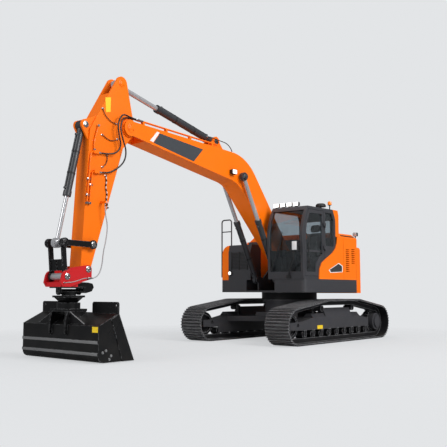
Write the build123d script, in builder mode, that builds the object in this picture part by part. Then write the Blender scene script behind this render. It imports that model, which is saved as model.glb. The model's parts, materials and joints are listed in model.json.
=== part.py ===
"""Crawler excavator, 24 tonne class, reduced tail swing, with a tilting and turning ditch bucket.

X points forward, Y to the left (the cab's side) and Z up, in millimetres.
The origin is on the ground under the axis that the house swings on.
"""
import os
from math import acos, atan2, cos, degrees, hypot, pi, sin, tan

from build123d import *

os.makedirs("parts", exist_ok=True)

# Clearances
run_gap = 0.3          # between a turning piece and its seat
hose_gap = 0.6         # between a hose's end and its fitting
pin_gap = 0.5          # between a pin and the eye that turns on it
side_gap = 8           # between moving plates side by side
panel_gap = 8          # between a door or lid and its frame

# Tracks
track_gauge = 2390
shoe_width = 600
tumbler_distance = 3650
shoe_count = 49
grouser_height = 26
grouser_foot = 34
grouser_tip = 14
shoe_plate = 14
link_height = 96
rail_inner = 40
rail_outer = 95
tumbler_radius = 261
carrier_radius = 65
carrier_places = (600, -750)
carrier_lift = 357      # carrier axis above the tumbler axis
roller_radius = 78
roller_count = 9
roller_pitch = 335
roller_axle = 24
sprocket_teeth = 21
tumbler_web = 30        # half the thickness of what runs between the rails

# Track frames and car body
frame_half_width = 130
frame_plate = 25
frame_top_z = 560
frame_bottom_z = 305
frame_front_x = 1450
frame_rear_x = -1450
yoke_height = 150
yoke_hole = 40
drive_radius = 205
car_body_top_z = 930
car_body_bottom_z = 430
car_leg_top_z = 640
turret_radius = 640
ring_outer_radius = 660
ring_bore_radius = 500
tow_eye_radius = 32
tow_eye_plate = 50

# House
deck_z = 1110
deck_top_z = 1400
house_half_width = 1345
tail_radius = 1720
deck_front_left_x = 1367
deck_front_right_x = 970
skirt_wall = 30
main_plate_in = 226
main_plate = 32
bay_front_x = -130
bay_split_x = -290      # joint between the left bay door and the cover in front of it
weight_front_x = -880
weight_bottom_z = 1090
weight_top_z = 2190
panel_top_z = 2380
hood_crown_z = 2500
panel_wall = 40
lift_eye_radius = 36

# Cab
cab_rear_x = 30
cab_front_x = 1380
cab_nose_x = 1408
cab_nose_z = 2120
cab_roof_front_x = 1190
cab_roof_z = 3000
cab_right_y = 388
cab_left_y = 1325
cab_wall = 50
cab_pillar = 62
door_rear_x = 530
door_thick = 46
glass_thick = 6

# Boom, with its pins in the fore and aft plane
boom_foot_x = 200
boom_foot_z = 1720
boom_knee_x = 2090
boom_knee_z = 3800
boom_nose_x = 5370
boom_nose_z = 4120
boom_half_width = 215
boom_plate = 18
boom_foot_half = 165
boom_knee_half = 350
boom_nose_half = 130
boom_foot_radius = 185
boom_nose_radius = 150
boom_fork_in = 186
boom_fork_reach = 420
boom_pin_radius = 48

# Arm
arm_tip_x = 6310
arm_tip_z = 1500
arm_heel_x = 5550       # rod pin of the arm cylinder
arm_heel_z = 4930
arm_half_width = 150
arm_boss_half = 176
arm_tip_radius = 105
arm_plate = 16
arm_pin_radius = 44
rocker_pin_x = 6203
rocker_pin_z = 1924
arm_shoulder_x = 6262
arm_shoulder_z = 3950
arm_belly_x = 5500
arm_belly_z = 3720

# Cylinders
boom_cyl_y = 302
boom_cyl_foot_x = 920
boom_cyl_foot_z = 1400
boom_cyl_eye_x = 2150
boom_cyl_eye_z = 3620
boom_cyl_radius = 66
boom_cyl_rod = 44
boom_cyl_barrel = 1500
arm_cyl_foot_x = 2850
arm_cyl_foot_z = 4310
arm_cyl_radius = 72
arm_cyl_rod = 48
arm_cyl_barrel = 1720
tool_cyl_foot_x = 6330
tool_cyl_foot_z = 4020
tool_cyl_radius = 62
tool_cyl_rod = 36
tool_cyl_barrel = 1310
barrel_wall = 12

# Bucket linkage and tool
rocker_eye_x = 6795
rocker_eye_z = 1935
rocker_half = 50
rocker_in = 200
rocker_plate = 32
tool_link_x = 6742
tool_link_z = 1373
link_bar_in = 160
link_bar = 30
coupler_plate_in = 200
coupler_plate = 40
coupler_bottom_z = 1205
tilt_axis_z = 1125
tilt_plate_radius = 56
tilt_drum_radius = 46
rotor_x = 6525
rotor_reach = 225       # half the distance over the tilt bracket's two ends
rotor_radius = 270
rotor_flange = 32
rotor_neck_radius = 120
rotor_foot_radius = 145
rotor_foot_z = 942
bucket_half_width = 1016
bucket_plate = 25
bucket_bottom_z = 12
bucket_back_x = 6712
bucket_lip_x = 5960
bucket_rim_x = 6295
bucket_rim_z = 784
bucket_back_z = 587


def side_plane(y):
    """The upright fore and aft plane at this place across the machine."""
    return Plane.XZ.offset(-y)


def beside(point, angle, along, left):
    """The point that lies so far along a direction and so far to its left."""
    x = point[0] + along * cos(angle) - left * sin(angle)
    z = point[1] + along * sin(angle) + left * cos(angle)
    return (x, z)


def heading(start, end):
    return atan2(end[1] - start[1], end[0] - start[0])


def distance(start, end):
    return hypot(end[0] - start[0], end[1] - start[1])


def keep(piece, node):
    """Name a finished piece and write it out."""
    piece.part.label = node
    export_step(piece.part, f"parts/{node}.step")


def pin(point, y_from, y_to, radius):
    """A round pin across the machine, added to the open part."""
    with BuildSketch(side_plane(y_to)) as disc:
        with Locations(point):
            Circle(radius)
    extrude(disc.sketch, amount=y_to - y_from)


def bore(point, y_from, y_to, radius):
    """A round hole across the machine, cut from the open part."""
    with BuildSketch(side_plane(y_to)) as disc:
        with Locations(point):
            Circle(radius)
    extrude(disc.sketch, amount=y_to - y_from, mode=Mode.SUBTRACT)


def block(x_from, x_to, y_from, y_to, z_from, z_to, mode=Mode.ADD):
    """A box between named faces, in the open part."""
    with BuildSketch(Plane.XY.offset(z_from)) as base:
        with Locations(((x_from + x_to) / 2, (y_from + y_to) / 2)):
            Rectangle(x_to - x_from, y_to - y_from)
    extrude(base.sketch, amount=z_to - z_from, mode=mode)


def upright(x, y, z_from, z_to, radius, mode=Mode.ADD):
    """A round upright bar, in the open part."""
    with BuildSketch(Plane.XY.offset(z_from)) as section:
        with Locations((x, y)):
            Circle(radius)
    extrude(section.sketch, amount=z_to - z_from, mode=mode)


def tube(points, bend, radius):
    """A round bar bent along these points, in the open part."""
    with BuildLine() as way:
        FilletPolyline(*points, radius=bend)
    with BuildSketch(Plane(origin=way.line @ 0, z_dir=way.line % 0)) as section:
        Circle(radius)
    sweep(section.sketch, path=way.line)


def axis_plane(start, end, y, along=0):
    """The plane square to a cylinder, this far along it."""
    way = heading(start, end)
    x, z = beside(start, way, along, 0)
    return Plane(origin=(x, y, z), x_dir=(0, 1, 0), z_dir=(cos(way), 0, sin(way)))


def round_bar(start, end, y, first, last, radius, mode=Mode.ADD):
    """A round length of a cylinder, in the open part."""
    with BuildSketch(axis_plane(start, end, y, first)) as section:
        Circle(radius)
    extrude(section.sketch, amount=last - first, mode=mode)


bend_share = 0.45      # share of the shorter run that a hose's bend takes up


def hose(name, points, diameter):
    """A hose of straight runs and arcs, one bend radius for each of its corners."""
    corners = []
    for before, at, after in zip(points, points[1:], points[2:]):
        arrive = Vector(*at) - Vector(*before)
        leave = Vector(*after) - Vector(*at)
        half_turn = arrive.get_angle(leave) / 2
        corners.append(bend_share * min(arrive.length, leave.length) / tan(half_turn * pi / 180))
    print(name, "bend radii over the diameter:", [round(corner / diameter, 1) for corner in corners])
    with BuildPart() as line:
        with BuildLine() as way:
            FilletPolyline(*points, radius=corners)
        with BuildSketch(Plane(origin=way.line @ 0, z_dir=way.line % 0)) as section:
            Circle(diameter / 2)
        sweep(section.sketch, path=way.line)
    print(name, "length", round(sum(edge.length for edge in way.edges())))
    return line


# Track loop: a belt round the tumblers and the carrier rollers
tumbler_z = grouser_height + shoe_plate + link_height + tumbler_radius
carrier_z = tumbler_z + carrier_lift
half_wheelbase = tumbler_distance / 2
wheels = [(half_wheelbase, tumbler_z, tumbler_radius)]
wheels += [(x, carrier_z, carrier_radius) for x in carrier_places]
wheels += [(-half_wheelbase, tumbler_z, tumbler_radius)]


def belt_spans(lift):
    """Arcs and straights of the belt that runs this far outside the rails."""
    normals = []
    for first, second in zip(wheels, wheels[1:] + wheels[:1]):
        reach = distance(first, second)
        lean = acos((first[2] - second[2]) / reach)
        normals.append(heading(first, second) - lean)
    spans = []
    for index, (x, z, radius) in enumerate(wheels):
        start = normals[index - 1]
        turn = (normals[index] - start) % (2 * pi)
        spans.append((x, z, radius + lift, start, turn))
    return spans


def belt_lines(lift):
    """Draw the belt's closed line in the open line."""
    spans = belt_spans(lift)
    for (x, z, radius, start, turn), after in zip(spans, spans[1:] + spans[:1]):
        CenterArc((x, z), radius, degrees(start), degrees(turn))
        leave = beside((x, z), start + turn, radius, 0)
        land = beside(after[:2], after[3], after[2], 0)
        Line(leave, land)


def belt_pieces(lift):
    """The belt as lengths with a way to find each point and its outward direction."""
    pieces = []
    spans = belt_spans(lift)
    for (x, z, radius, start, turn), after in zip(spans, spans[1:] + spans[:1]):
        pieces.append(("arc", radius * turn, (x, z), radius, start))
        leave = beside((x, z), start + turn, radius, 0)
        land = beside(after[:2], after[3], after[2], 0)
        pieces.append(("line", distance(leave, land), leave, 0, start + turn))
    return pieces


def belt_point(pieces, travel, height):
    """The point this far along the belt and this far out from it."""
    total = sum(piece[1] for piece in pieces)
    travel = travel % total
    for kind, length, place, radius, start in pieces:
        if travel <= length:
            if kind == "arc":
                return beside(place, start + travel / radius, radius + height, 0)
            return beside(beside(place, start + pi / 2, travel, 0), start, height, 0)
        travel -= length
    return beside(pieces[0][2], pieces[0][4], pieces[0][3] + height, 0)


def shoe_outline():
    """Points round the loop: three grousers on each shoe."""
    pieces = belt_pieces(link_height + shoe_plate)
    pitch = sum(piece[1] for piece in pieces) / (3 * shoe_count)
    points = []
    for index in range(3 * shoe_count):
        middle = (index + 0.5) * pitch
        points.append(belt_point(pieces, middle - grouser_foot / 2, 0))
        points.append(belt_point(pieces, middle - grouser_tip / 2, grouser_height))
        points.append(belt_point(pieces, middle + grouser_tip / 2, grouser_height))
        points.append(belt_point(pieces, middle + grouser_foot / 2, 0))
    return points


def track(side):
    """One track loop: shoes with their grousers, on two rails of links."""
    middle = side * track_gauge / 2
    with BuildPart() as loop:
        with BuildSketch(side_plane(middle)):
            with BuildLine():
                Polyline(*shoe_outline(), close=True)
            make_face()
            with BuildLine():
                belt_lines(link_height)
            make_face(mode=Mode.SUBTRACT)
        extrude(amount=shoe_width / 2, both=True)
        for rail in (rail_outer, -rail_inner):
            with BuildSketch(side_plane(middle + rail)):
                with BuildLine():
                    belt_lines(link_height)
                make_face()
                with BuildLine():
                    belt_lines(0)
                make_face(mode=Mode.SUBTRACT)
            extrude(amount=rail_outer - rail_inner)
    return loop


keep(track(1), "track_left")
keep(track(-1), "track_right")


# Idlers run between the rails at the front
axle_half = frame_half_width - frame_plate
idler_axle = 55
with BuildPart() as idlers:
    for side in (1, -1):
        middle = side * track_gauge / 2
        place = (half_wheelbase, tumbler_z)
        tread = tumbler_radius - run_gap
        pin(place, middle - rail_outer, middle + rail_outer, tread)
        pin(place, middle - tumbler_web, middle + tumbler_web, tread + 20)
        bore(place, middle + tumbler_web, middle + rail_outer, tread - 55)
        bore(place, middle - rail_outer, middle - tumbler_web, tread - 55)
        pin(place, middle - axle_half, middle + axle_half, idler_axle)
keep(idlers, "idlers")

# Sprockets at the rear, a toothed plate on each final drive
tooth_root = tumbler_radius - 18
tooth_tip = tumbler_radius + 28
with BuildPart() as sprockets:
    for side in (1, -1):
        middle = side * track_gauge / 2
        with BuildSketch(side_plane(middle)):
            with Locations((-half_wheelbase, tumbler_z)):
                Circle(tooth_root)
                with PolarLocations((tooth_root + tooth_tip) / 2 - 8, sprocket_teeth):
                    Trapezoid(52, tooth_tip - tooth_root + 16, 68, rotation=-90)
                Circle(drive_radius + run_gap, mode=Mode.SUBTRACT)
        extrude(amount=tumbler_web, both=True)
keep(sprockets, "sprockets")

# Final drives carry the sprockets and bolt to the frames' rear plates
with BuildPart() as final_drives:
    for side in (1, -1):
        middle = side * track_gauge / 2
        inner = middle - side * frame_half_width
        outer = middle + side * 150
        place = (-half_wheelbase, tumbler_z)
        pin(place, min(inner, outer), max(inner, outer), drive_radius)
        cap = middle + side * 185
        pin(place, min(outer, cap), max(outer, cap), drive_radius - 60)
keep(final_drives, "final_drives")

# Bottom rollers hang from the frames by their end collars
roller_z = grouser_height + shoe_plate + link_height + roller_radius + run_gap
collar_half = 45
with BuildPart() as bottom_rollers:
    for side in (1, -1):
        middle = side * track_gauge / 2
        for index in range(roller_count):
            place = ((index - (roller_count - 1) / 2) * roller_pitch, roller_z)
            pin(place, middle - rail_outer, middle + rail_outer, roller_radius)
            pin(place, middle - axle_half, middle + axle_half, roller_axle)
            for end in (middle - frame_half_width, middle + axle_half):
                block(place[0] - collar_half, place[0] + collar_half, end, end + frame_plate,
                      roller_z - 40, frame_bottom_z)
keep(bottom_rollers, "bottom_rollers")

# Carrier rollers stand on posts
post_half = 40
with BuildPart() as carrier_rollers:
    for side in (1, -1):
        middle = side * track_gauge / 2
        for x in carrier_places:
            pin((x, carrier_z), middle - rail_outer, middle + rail_outer, carrier_radius - run_gap)
            near, far = sorted((middle - side * rail_outer, middle - side * frame_half_width))
            pin((x, carrier_z), near, far, carrier_radius - 20)
            block(x - post_half, x + post_half, near, far, frame_top_z, carrier_z)
keep(carrier_rollers, "carrier_rollers")

# Track frames: a box beam, a front yoke for the idler and a rear plate for the final drive
yoke_front_x = half_wheelbase + 95
with BuildPart() as track_frames:
    for side in (1, -1):
        middle = side * track_gauge / 2
        with BuildSketch(side_plane(middle)):
            with BuildLine():
                Polyline((frame_rear_x, frame_bottom_z), (frame_front_x, frame_bottom_z),
                         (frame_front_x, frame_top_z - 70), (frame_front_x - 420, frame_top_z),
                         (frame_rear_x + 420, frame_top_z), (frame_rear_x, frame_top_z - 70), close=True)
            make_face()
        extrude(amount=frame_half_width, both=True)
        for plate in (middle + frame_half_width, middle - axle_half):
            with BuildSketch(side_plane(plate)):
                with BuildLine():
                    Polyline((frame_front_x, frame_bottom_z), (yoke_front_x, tumbler_z - yoke_height / 2),
                             (yoke_front_x, tumbler_z + yoke_height / 2), (frame_front_x, frame_top_z - 70),
                             close=True)
                make_face()
                with Locations(((frame_front_x + half_wheelbase) / 2 - 30, tumbler_z + 20)):
                    Circle(yoke_hole, mode=Mode.SUBTRACT)
            extrude(amount=frame_plate)
        plate = max(middle - side * frame_half_width, middle - side * axle_half)
        with BuildSketch(side_plane(plate)):
            with BuildLine():
                Polyline((frame_rear_x, frame_bottom_z), (frame_rear_x, frame_top_z - 70),
                         (-half_wheelbase, tumbler_z + drive_radius + 45),
                         (-half_wheelbase, tumbler_z - drive_radius - 45), close=True)
            make_face()
            with Locations((-half_wheelbase, tumbler_z)):
                Circle(drive_radius + 45)
                Circle(drive_radius + run_gap, mode=Mode.SUBTRACT)
        extrude(amount=frame_plate)
keep(track_frames, "track_frames")

# Car body: turret on four legs, with tow eyes fore and aft
leg_reach_y = track_gauge / 2 - frame_half_width
leg_out_x = 1050
leg_in_x = 420
body_half = 560
tow_eye_x = body_half + 90
tow_eye_z = 520
with BuildPart() as car_body:
    with BuildSketch(Plane.XY.offset(car_body_bottom_z)):
        Rectangle(2 * body_half, 2 * body_half + 240)
        for end_x in (1, -1):
            for end_y in (1, -1):
                with BuildLine():
                    Polyline((end_x * 160, end_y * 640), (end_x * body_half, end_y * 300),
                             (end_x * leg_out_x, end_y * leg_reach_y),
                             (end_x * leg_in_x, end_y * leg_reach_y), close=True)
                make_face()
    extrude(amount=car_leg_top_z - car_body_bottom_z - 90)
    with BuildSketch(Plane.XY.offset(car_leg_top_z - 90)):
        Rectangle(2 * body_half, 2 * body_half + 100)
    extrude(amount=90, taper=12)
    with BuildSketch(Plane.XY.offset(car_leg_top_z - 90)):
        Circle(turret_radius - 60)
    extrude(amount=car_body_top_z - car_leg_top_z + 90)
    with BuildSketch(Plane.XY.offset(car_body_top_z - 60)):
        Circle(turret_radius)
    extrude(amount=60)
    for end in (1, -1):
        with BuildSketch(side_plane(tow_eye_plate / 2)):
            with Locations((end * tow_eye_x, tow_eye_z)):
                Circle(80)
            with Locations((end * (body_half + tow_eye_x) / 2, tow_eye_z)):
                Rectangle(tow_eye_x - body_half, 160)
            with Locations((end * tow_eye_x, tow_eye_z)):
                Circle(tow_eye_radius, mode=Mode.SUBTRACT)
        extrude(amount=tow_eye_plate)
keep(car_body, "car_body")

# Swing ring between car body and house
with BuildPart() as swing_ring:
    with BuildSketch(Plane.XY.offset(car_body_top_z)):
        Circle(ring_outer_radius)
        Circle(ring_bore_radius, mode=Mode.SUBTRACT)
    extrude(amount=deck_z - car_body_top_z - run_gap)
keep(swing_ring, "swing_ring")

# Upper frame: floor plate, two main plates that hold boom foot and boom cylinders
boom_foot = (boom_foot_x, boom_foot_z)
boom_cyl_foot = (boom_cyl_foot_x, boom_cyl_foot_z)
main_plate_out = main_plate_in + main_plate
frame_tail_x = weight_front_x
foot_eye = 75
foot_boss = 145
floor_plate = 40
boom_cyl_eye_half = 38
cyl_pin_out = boom_cyl_y + boom_cyl_eye_half + 6
with BuildPart() as upper_frame:
    block(frame_tail_x, boom_cyl_foot_x + 170, -main_plate_out - 290, main_plate_out + 290,
          deck_z, deck_z + floor_plate)
    for plate in (main_plate_out, -main_plate_in):
        with BuildSketch(side_plane(plate)):
            with Locations(boom_cyl_foot):
                Circle(foot_eye)
            with Locations(boom_foot):
                Circle(foot_boss)
            with BuildLine():
                Polyline((frame_tail_x, deck_z + floor_plate), (boom_cyl_foot_x, deck_z + floor_plate),
                         (boom_cyl_foot_x, boom_cyl_foot_z + foot_eye),
                         (boom_cyl_foot_x - 190, boom_cyl_foot_z + 40),
                         (boom_foot_x + 110, boom_foot_z + 100), (boom_foot_x - 100, boom_foot_z + 100),
                         (boom_foot_x - 420, deck_top_z), (frame_tail_x, deck_top_z), close=True)
            make_face()
        extrude(amount=main_plate)
    pin(boom_foot, -main_plate_in, main_plate_in, boom_pin_radius)
    pin(boom_cyl_foot, main_plate_in, cyl_pin_out, boom_pin_radius)
    pin(boom_cyl_foot, -cyl_pin_out, -main_plate_in, boom_pin_radius)
keep(upper_frame, "upper_frame")

# Decks beside the upper frame: sheet boxes open below, with rounded outer corners
deck_in_y = main_plate_out + 291
deck_corner = 90
deck_rear_x = weight_front_x


def deck(side, front_x):
    outer = side * house_half_width
    inner = side * deck_in_y
    with BuildPart() as box:
        with BuildSketch(Plane.XY.offset(deck_z)):
            with BuildLine():
                Polyline((deck_rear_x, inner), (front_x, inner), (front_x, outer), (deck_rear_x, outer),
                         close=True)
            make_face()
            corner = [v for v in vertices() if v.X > 0 and abs(v.Y) > deck_in_y + 100]
            fillet(corner, deck_corner)
        extrude(amount=deck_top_z - deck_z)
        with BuildSketch(Plane.XY.offset(deck_z)):
            with BuildLine():
                Polyline((deck_rear_x + skirt_wall, inner + side * skirt_wall),
                         (front_x - skirt_wall, inner + side * skirt_wall),
                         (front_x - skirt_wall, outer - side * skirt_wall),
                         (deck_rear_x + skirt_wall, outer - side * skirt_wall), close=True)
            make_face()
            inside = [v for v in vertices() if v.X > 0 and abs(v.Y) > deck_in_y + 100]
            fillet(inside, deck_corner - skirt_wall)
        extrude(amount=deck_top_z - deck_z - skirt_wall, mode=Mode.SUBTRACT)
    return box


left_deck = deck(1, deck_front_left_x)
right_deck = deck(-1, deck_front_right_x)
keep(left_deck, "left_deck")
keep(right_deck, "right_deck")

# Counterweight: the tail, cut by the swing circle, with two lifting eyes
eye_y = 620
eye_x = weight_front_x - 330
eye_lift = 46
with BuildPart() as counterweight:
    with BuildSketch(Plane.XY.offset(weight_bottom_z)):
        Circle(tail_radius)
        with Locations((weight_front_x - tail_radius, 0)):
            Rectangle(2 * tail_radius, 2 * house_half_width, mode=Mode.INTERSECT)
    extrude(amount=weight_top_z - weight_bottom_z)
    top_rim = [e for e in edges().group_by(Axis.Z)[-1] if e.center().X < weight_front_x - 10]
    fillet(top_rim, 70)
    for y in (eye_y, -eye_y):
        with BuildSketch(side_plane(y + 25)):
            with Locations((eye_x, weight_top_z + eye_lift)):
                Circle(85)
            with Locations((eye_x, weight_top_z - 60)):
                Rectangle(170, 2 * eye_lift + 120)
            with Locations((eye_x, weight_top_z + eye_lift)):
                Circle(lift_eye_radius, mode=Mode.SUBTRACT)
        extrude(amount=50)
keep(counterweight, "counterweight")

# Engine with its pump, one closed mass on the frame
engine_x = (-830, -240)
engine_half = 560
engine_top_z = 2060
with BuildPart() as engine:
    block(engine_x[0], engine_x[1], -engine_half, engine_half, deck_top_z, engine_top_z)
    fillet(edges().group_by(Axis.Z)[-1], 60)
keep(engine, "engine")

# Bulkhead between engine bay and cab, with a notch over the main plates
bulk_x = bay_front_x + panel_gap
bulk_wall = 40
bulk_half = house_half_width - panel_wall - panel_gap
with BuildPart() as bulkhead:
    block(bulk_x, bulk_x + bulk_wall, -bulk_half, bulk_half, deck_top_z, panel_top_z)
    block(bulk_x - 1, bulk_x + bulk_wall + 1, -main_plate_out - 30, main_plate_out + 30,
          deck_top_z - 1, boom_foot_z, mode=Mode.SUBTRACT)
keep(bulkhead, "bulkhead")

# Side doors of the engine bay, hinged at the tail
door_tail_x = weight_front_x + panel_gap
louvre_step = 46
louvre_width = 165
louvre_columns = ((-470, 1600, 12), (-735, 1800, 8))     # middle, lowest slot, number of slots


def bay_door(side, front_x):
    outer = max(side * house_half_width, side * (house_half_width - panel_wall))
    with BuildPart() as door:
        with BuildSketch(side_plane(outer)):
            with BuildLine():
                Polyline((door_tail_x, deck_top_z + run_gap), (front_x, deck_top_z + run_gap),
                         (front_x, panel_top_z), (door_tail_x, panel_top_z), close=True)
            make_face()
            for column, lowest, count in louvre_columns:
                for row in range(count):
                    with Locations((column, lowest + row * louvre_step)):
                        SlotOverall(louvre_width, 20, mode=Mode.SUBTRACT)
        extrude(amount=panel_wall)
    return door


left_door = bay_door(1, bay_split_x)
right_door = bay_door(-1, bulk_x + bulk_wall)
keep(left_door, "left_bay_door")
keep(right_door, "right_bay_door")

# Engine hood, crowned, with skirts down to the counterweight
hood_rear_x = weight_front_x - 120
hood_half = bulk_half
hood_shoulder = 150
with BuildPart() as hood:
    with BuildSketch(Plane.YZ.offset(hood_rear_x)):
        with BuildLine():
            Polyline((-hood_half, weight_top_z + run_gap), (hood_half, weight_top_z + run_gap),
                     (hood_half, panel_top_z + 10), (hood_half - hood_shoulder, hood_crown_z),
                     (-hood_half + hood_shoulder, hood_crown_z), (-hood_half, panel_top_z + 10), close=True)
        make_face()
    extrude(amount=bay_front_x - hood_rear_x)
    with BuildSketch(Plane.YZ.offset(hood_rear_x + panel_wall)):
        with BuildLine():
            Polyline((-hood_half + panel_wall, weight_top_z - 1), (hood_half - panel_wall, weight_top_z - 1),
                     (hood_half - panel_wall, panel_top_z), (hood_half - hood_shoulder, hood_crown_z - panel_wall),
                     (-hood_half + hood_shoulder, hood_crown_z - panel_wall),
                     (-hood_half + panel_wall, panel_top_z), close=True)
        make_face()
    extrude(amount=bay_front_x - hood_rear_x - 2 * panel_wall, mode=Mode.SUBTRACT)
keep(hood, "engine_hood")

# Fuel and oil tank beside the boom, with the tool box and a rounded corner cover in front of it
tank_in_y = 430
tank_front_x = 560
tank_top_z = 2250
box_top_z = 2240
corner_in_y = 1100
corner_round = 220
corner_front_x = deck_front_right_x - 20
with BuildPart() as tank:
    block(bulk_x + bulk_wall, tank_front_x, -house_half_width, -tank_in_y, deck_top_z, tank_top_z)
    fillet(edges().group_by(Axis.Z)[-1], 50)
keep(tank, "fuel_tank")
with BuildPart() as tool_box:
    with BuildSketch(side_plane(-tank_in_y)):
        with BuildLine():
            Polyline((tank_front_x, deck_top_z), (deck_front_right_x, deck_top_z),
                     (deck_front_right_x, box_top_z - 160), (deck_front_right_x - 60, box_top_z),
                     (tank_front_x, box_top_z), close=True)
        make_face()
    extrude(amount=corner_in_y - tank_in_y)
keep(tool_box, "tool_box")
with BuildPart() as corner_cover:
    with BuildSketch(Plane.YZ.offset(tank_front_x)) as section:
        with BuildLine():
            Polyline((-house_half_width, deck_top_z), (-corner_in_y, deck_top_z), (-corner_in_y, box_top_z),
                     (-house_half_width, box_top_z), close=True)
        make_face()
        shoulder = section.vertices().sort_by_distance((-house_half_width, box_top_z, 0))[0]
        fillet(shoulder, corner_round)
    extrude(amount=corner_front_x - tank_front_x)
    fillet(faces().sort_by(Axis.X)[-1].edges().filter_by(Axis.Z).sort_by(Axis.Y)[0], 60)
keep(corner_cover, "right_corner_cover")

# Cab door hinges: pins on the cab, knuckles on the leaf
hinge_x = door_rear_x - 8
hinge_y = cab_left_y + 27
hinge_places = (2040, 2560)
hinge_pin = 11
hinge_lug = 40
hinge_length = 70


# Cab, a hollow shell with its windows cut
screen_mid_x = 1348
screen_mid_z = 2690
cab_rear_slope = 110


def cab_side(y, inset=0):
    """The cab's side outline at this place across, drawn in by the inset."""
    with BuildSketch(side_plane(y)) as outline:
        with BuildLine():
            Polyline((cab_roof_front_x, cab_roof_z), (cab_rear_x + cab_rear_slope, cab_roof_z),
                     (cab_rear_x, cab_roof_z - 2 * cab_rear_slope), (cab_rear_x, deck_top_z),
                     (cab_front_x, deck_top_z), (cab_nose_x, cab_nose_z))
            ThreePointArc((cab_nose_x, cab_nose_z), (screen_mid_x, screen_mid_z),
                          (cab_roof_front_x, cab_roof_z))
        make_face()
        if inset:
            offset(amount=-inset, kind=Kind.INTERSECTION)
    return outline.sketch


def clipped(sketch, x_from, x_to, z_from, z_to, y):
    """Only the part of a side outline that lies between these places."""
    with BuildSketch(side_plane(y)) as window:
        with Locations(((x_from + x_to) / 2, (z_from + z_to) / 2)):
            Rectangle(x_to - x_from, z_to - z_from)
    return sketch & window.sketch


door_bottom_z = 1455
door_cut = ((door_rear_x, 1880), (690, 1790), (790, 1650), (812, door_bottom_z))
sill_z = 1560


def door_outline(y, inset):
    """The door's outline: it follows the front pillar and is cut across its lower rear corner."""
    with BuildSketch(side_plane(y)) as cutter:
        with BuildLine():
            Polyline(*[(x + inset, z + inset) for x, z in door_cut], (cab_nose_x, door_bottom_z + inset),
                     (cab_nose_x, cab_roof_z), (door_rear_x + inset, cab_roof_z), close=True)
        make_face()
    return cab_side(y, cab_pillar + inset) & cutter.sketch


window_rise = 2035
window_bar = 45
quarter_front_x = door_rear_x - 60
rear_window_z = 2150
with BuildPart() as cab_shell:
    extrude(cab_side(cab_left_y), amount=cab_left_y - cab_right_y)
    extrude(cab_side(cab_left_y - cab_wall, cab_wall), amount=cab_left_y - cab_right_y - 2 * cab_wall,
            mode=Mode.SUBTRACT)
    extrude(door_outline(cab_left_y + 1, 0), amount=cab_wall + 2, mode=Mode.SUBTRACT)
    quarter = clipped(cab_side(cab_left_y + 1, cab_pillar + 30), cab_rear_x, quarter_front_x, rear_window_z,
                      cab_roof_z, cab_left_y + 1)
    extrude(quarter, amount=cab_wall + 2, mode=Mode.SUBTRACT)
    right_pane = clipped(cab_side(cab_right_y + cab_wall + 1, cab_pillar + 30), cab_rear_x, cab_nose_x,
                         window_rise, cab_roof_z, cab_right_y + cab_wall + 1)
    extrude(right_pane, amount=cab_wall + 2, mode=Mode.SUBTRACT)
    block(cab_roof_front_x - 90, cab_nose_x + 60, cab_right_y + cab_pillar, cab_left_y - cab_pillar,
          sill_z, cab_roof_z - 90, mode=Mode.SUBTRACT)
    block(cab_rear_x - 60, cab_rear_x + 200, cab_right_y + 120, cab_left_y - 120,
          rear_window_z, cab_roof_z - 2 * cab_rear_slope - 20, mode=Mode.SUBTRACT)
    for z in hinge_places:
        block(hinge_x - 40, hinge_x + 4, cab_left_y, hinge_y, z, z + hinge_lug)
        upright(hinge_x, hinge_y, z, z + hinge_lug, 20)
        upright(hinge_x, hinge_y, z + hinge_lug, z + hinge_lug + hinge_length, hinge_pin)
keep(cab_shell, "cab_shell")

# Fixed panes, each in its opening
pane_in = 22
seal = 0.3
with BuildPart() as cab_glass:
    screen = cab_side(cab_left_y - cab_pillar - seal, pane_in) - cab_side(
        cab_left_y - cab_pillar - seal, pane_in + glass_thick)
    front_pane = clipped(screen, cab_roof_front_x - 90 + seal, cab_nose_x, sill_z + seal, cab_roof_z - 90 - seal,
                         cab_left_y - cab_pillar - seal)
    extrude(front_pane, amount=cab_left_y - cab_right_y - 2 * cab_pillar - 2 * seal)
    for y, front_x, low_z in ((cab_left_y - pane_in, quarter_front_x, rear_window_z),
                              (cab_right_y + pane_in + glass_thick, cab_nose_x, window_rise)):
        pane = clipped(cab_side(y, cab_pillar + 30 + seal), cab_rear_x, front_x - seal, low_z + seal,
                       cab_roof_z, y)
        extrude(pane, amount=glass_thick)
    block(cab_rear_x + pane_in, cab_rear_x + pane_in + glass_thick, cab_right_y + 120 + seal,
          cab_left_y - 120 - seal, rear_window_z + seal, cab_roof_z - 2 * cab_rear_slope - 20 - seal)
keep(cab_glass, "cab_glass")

# Door leaf with two panes
leaf_y = cab_left_y
with BuildPart() as cab_door:
    extrude(door_outline(leaf_y, panel_gap), amount=door_thick)
    upper = clipped(door_outline(leaf_y + 1, panel_gap + 75), door_rear_x, cab_nose_x, window_rise, cab_roof_z,
                    leaf_y + 1)
    lower = clipped(door_outline(leaf_y + 1, panel_gap + 75), door_rear_x, cab_nose_x, sill_z,
                    window_rise - window_bar, leaf_y + 1)
    extrude(upper, amount=door_thick + 2, mode=Mode.SUBTRACT)
    extrude(lower, amount=door_thick + 2, mode=Mode.SUBTRACT)
    for z in hinge_places:
        low = z + hinge_lug + run_gap
        high = z + hinge_lug + hinge_length
        upright(hinge_x, hinge_y, low, high, 20)
        block(hinge_x, hinge_x + 70, cab_left_y, hinge_y + 8, low, high)
        upright(hinge_x, hinge_y, low, high, hinge_pin + run_gap, Mode.SUBTRACT)
keep(cab_door, "cab_door")
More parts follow.
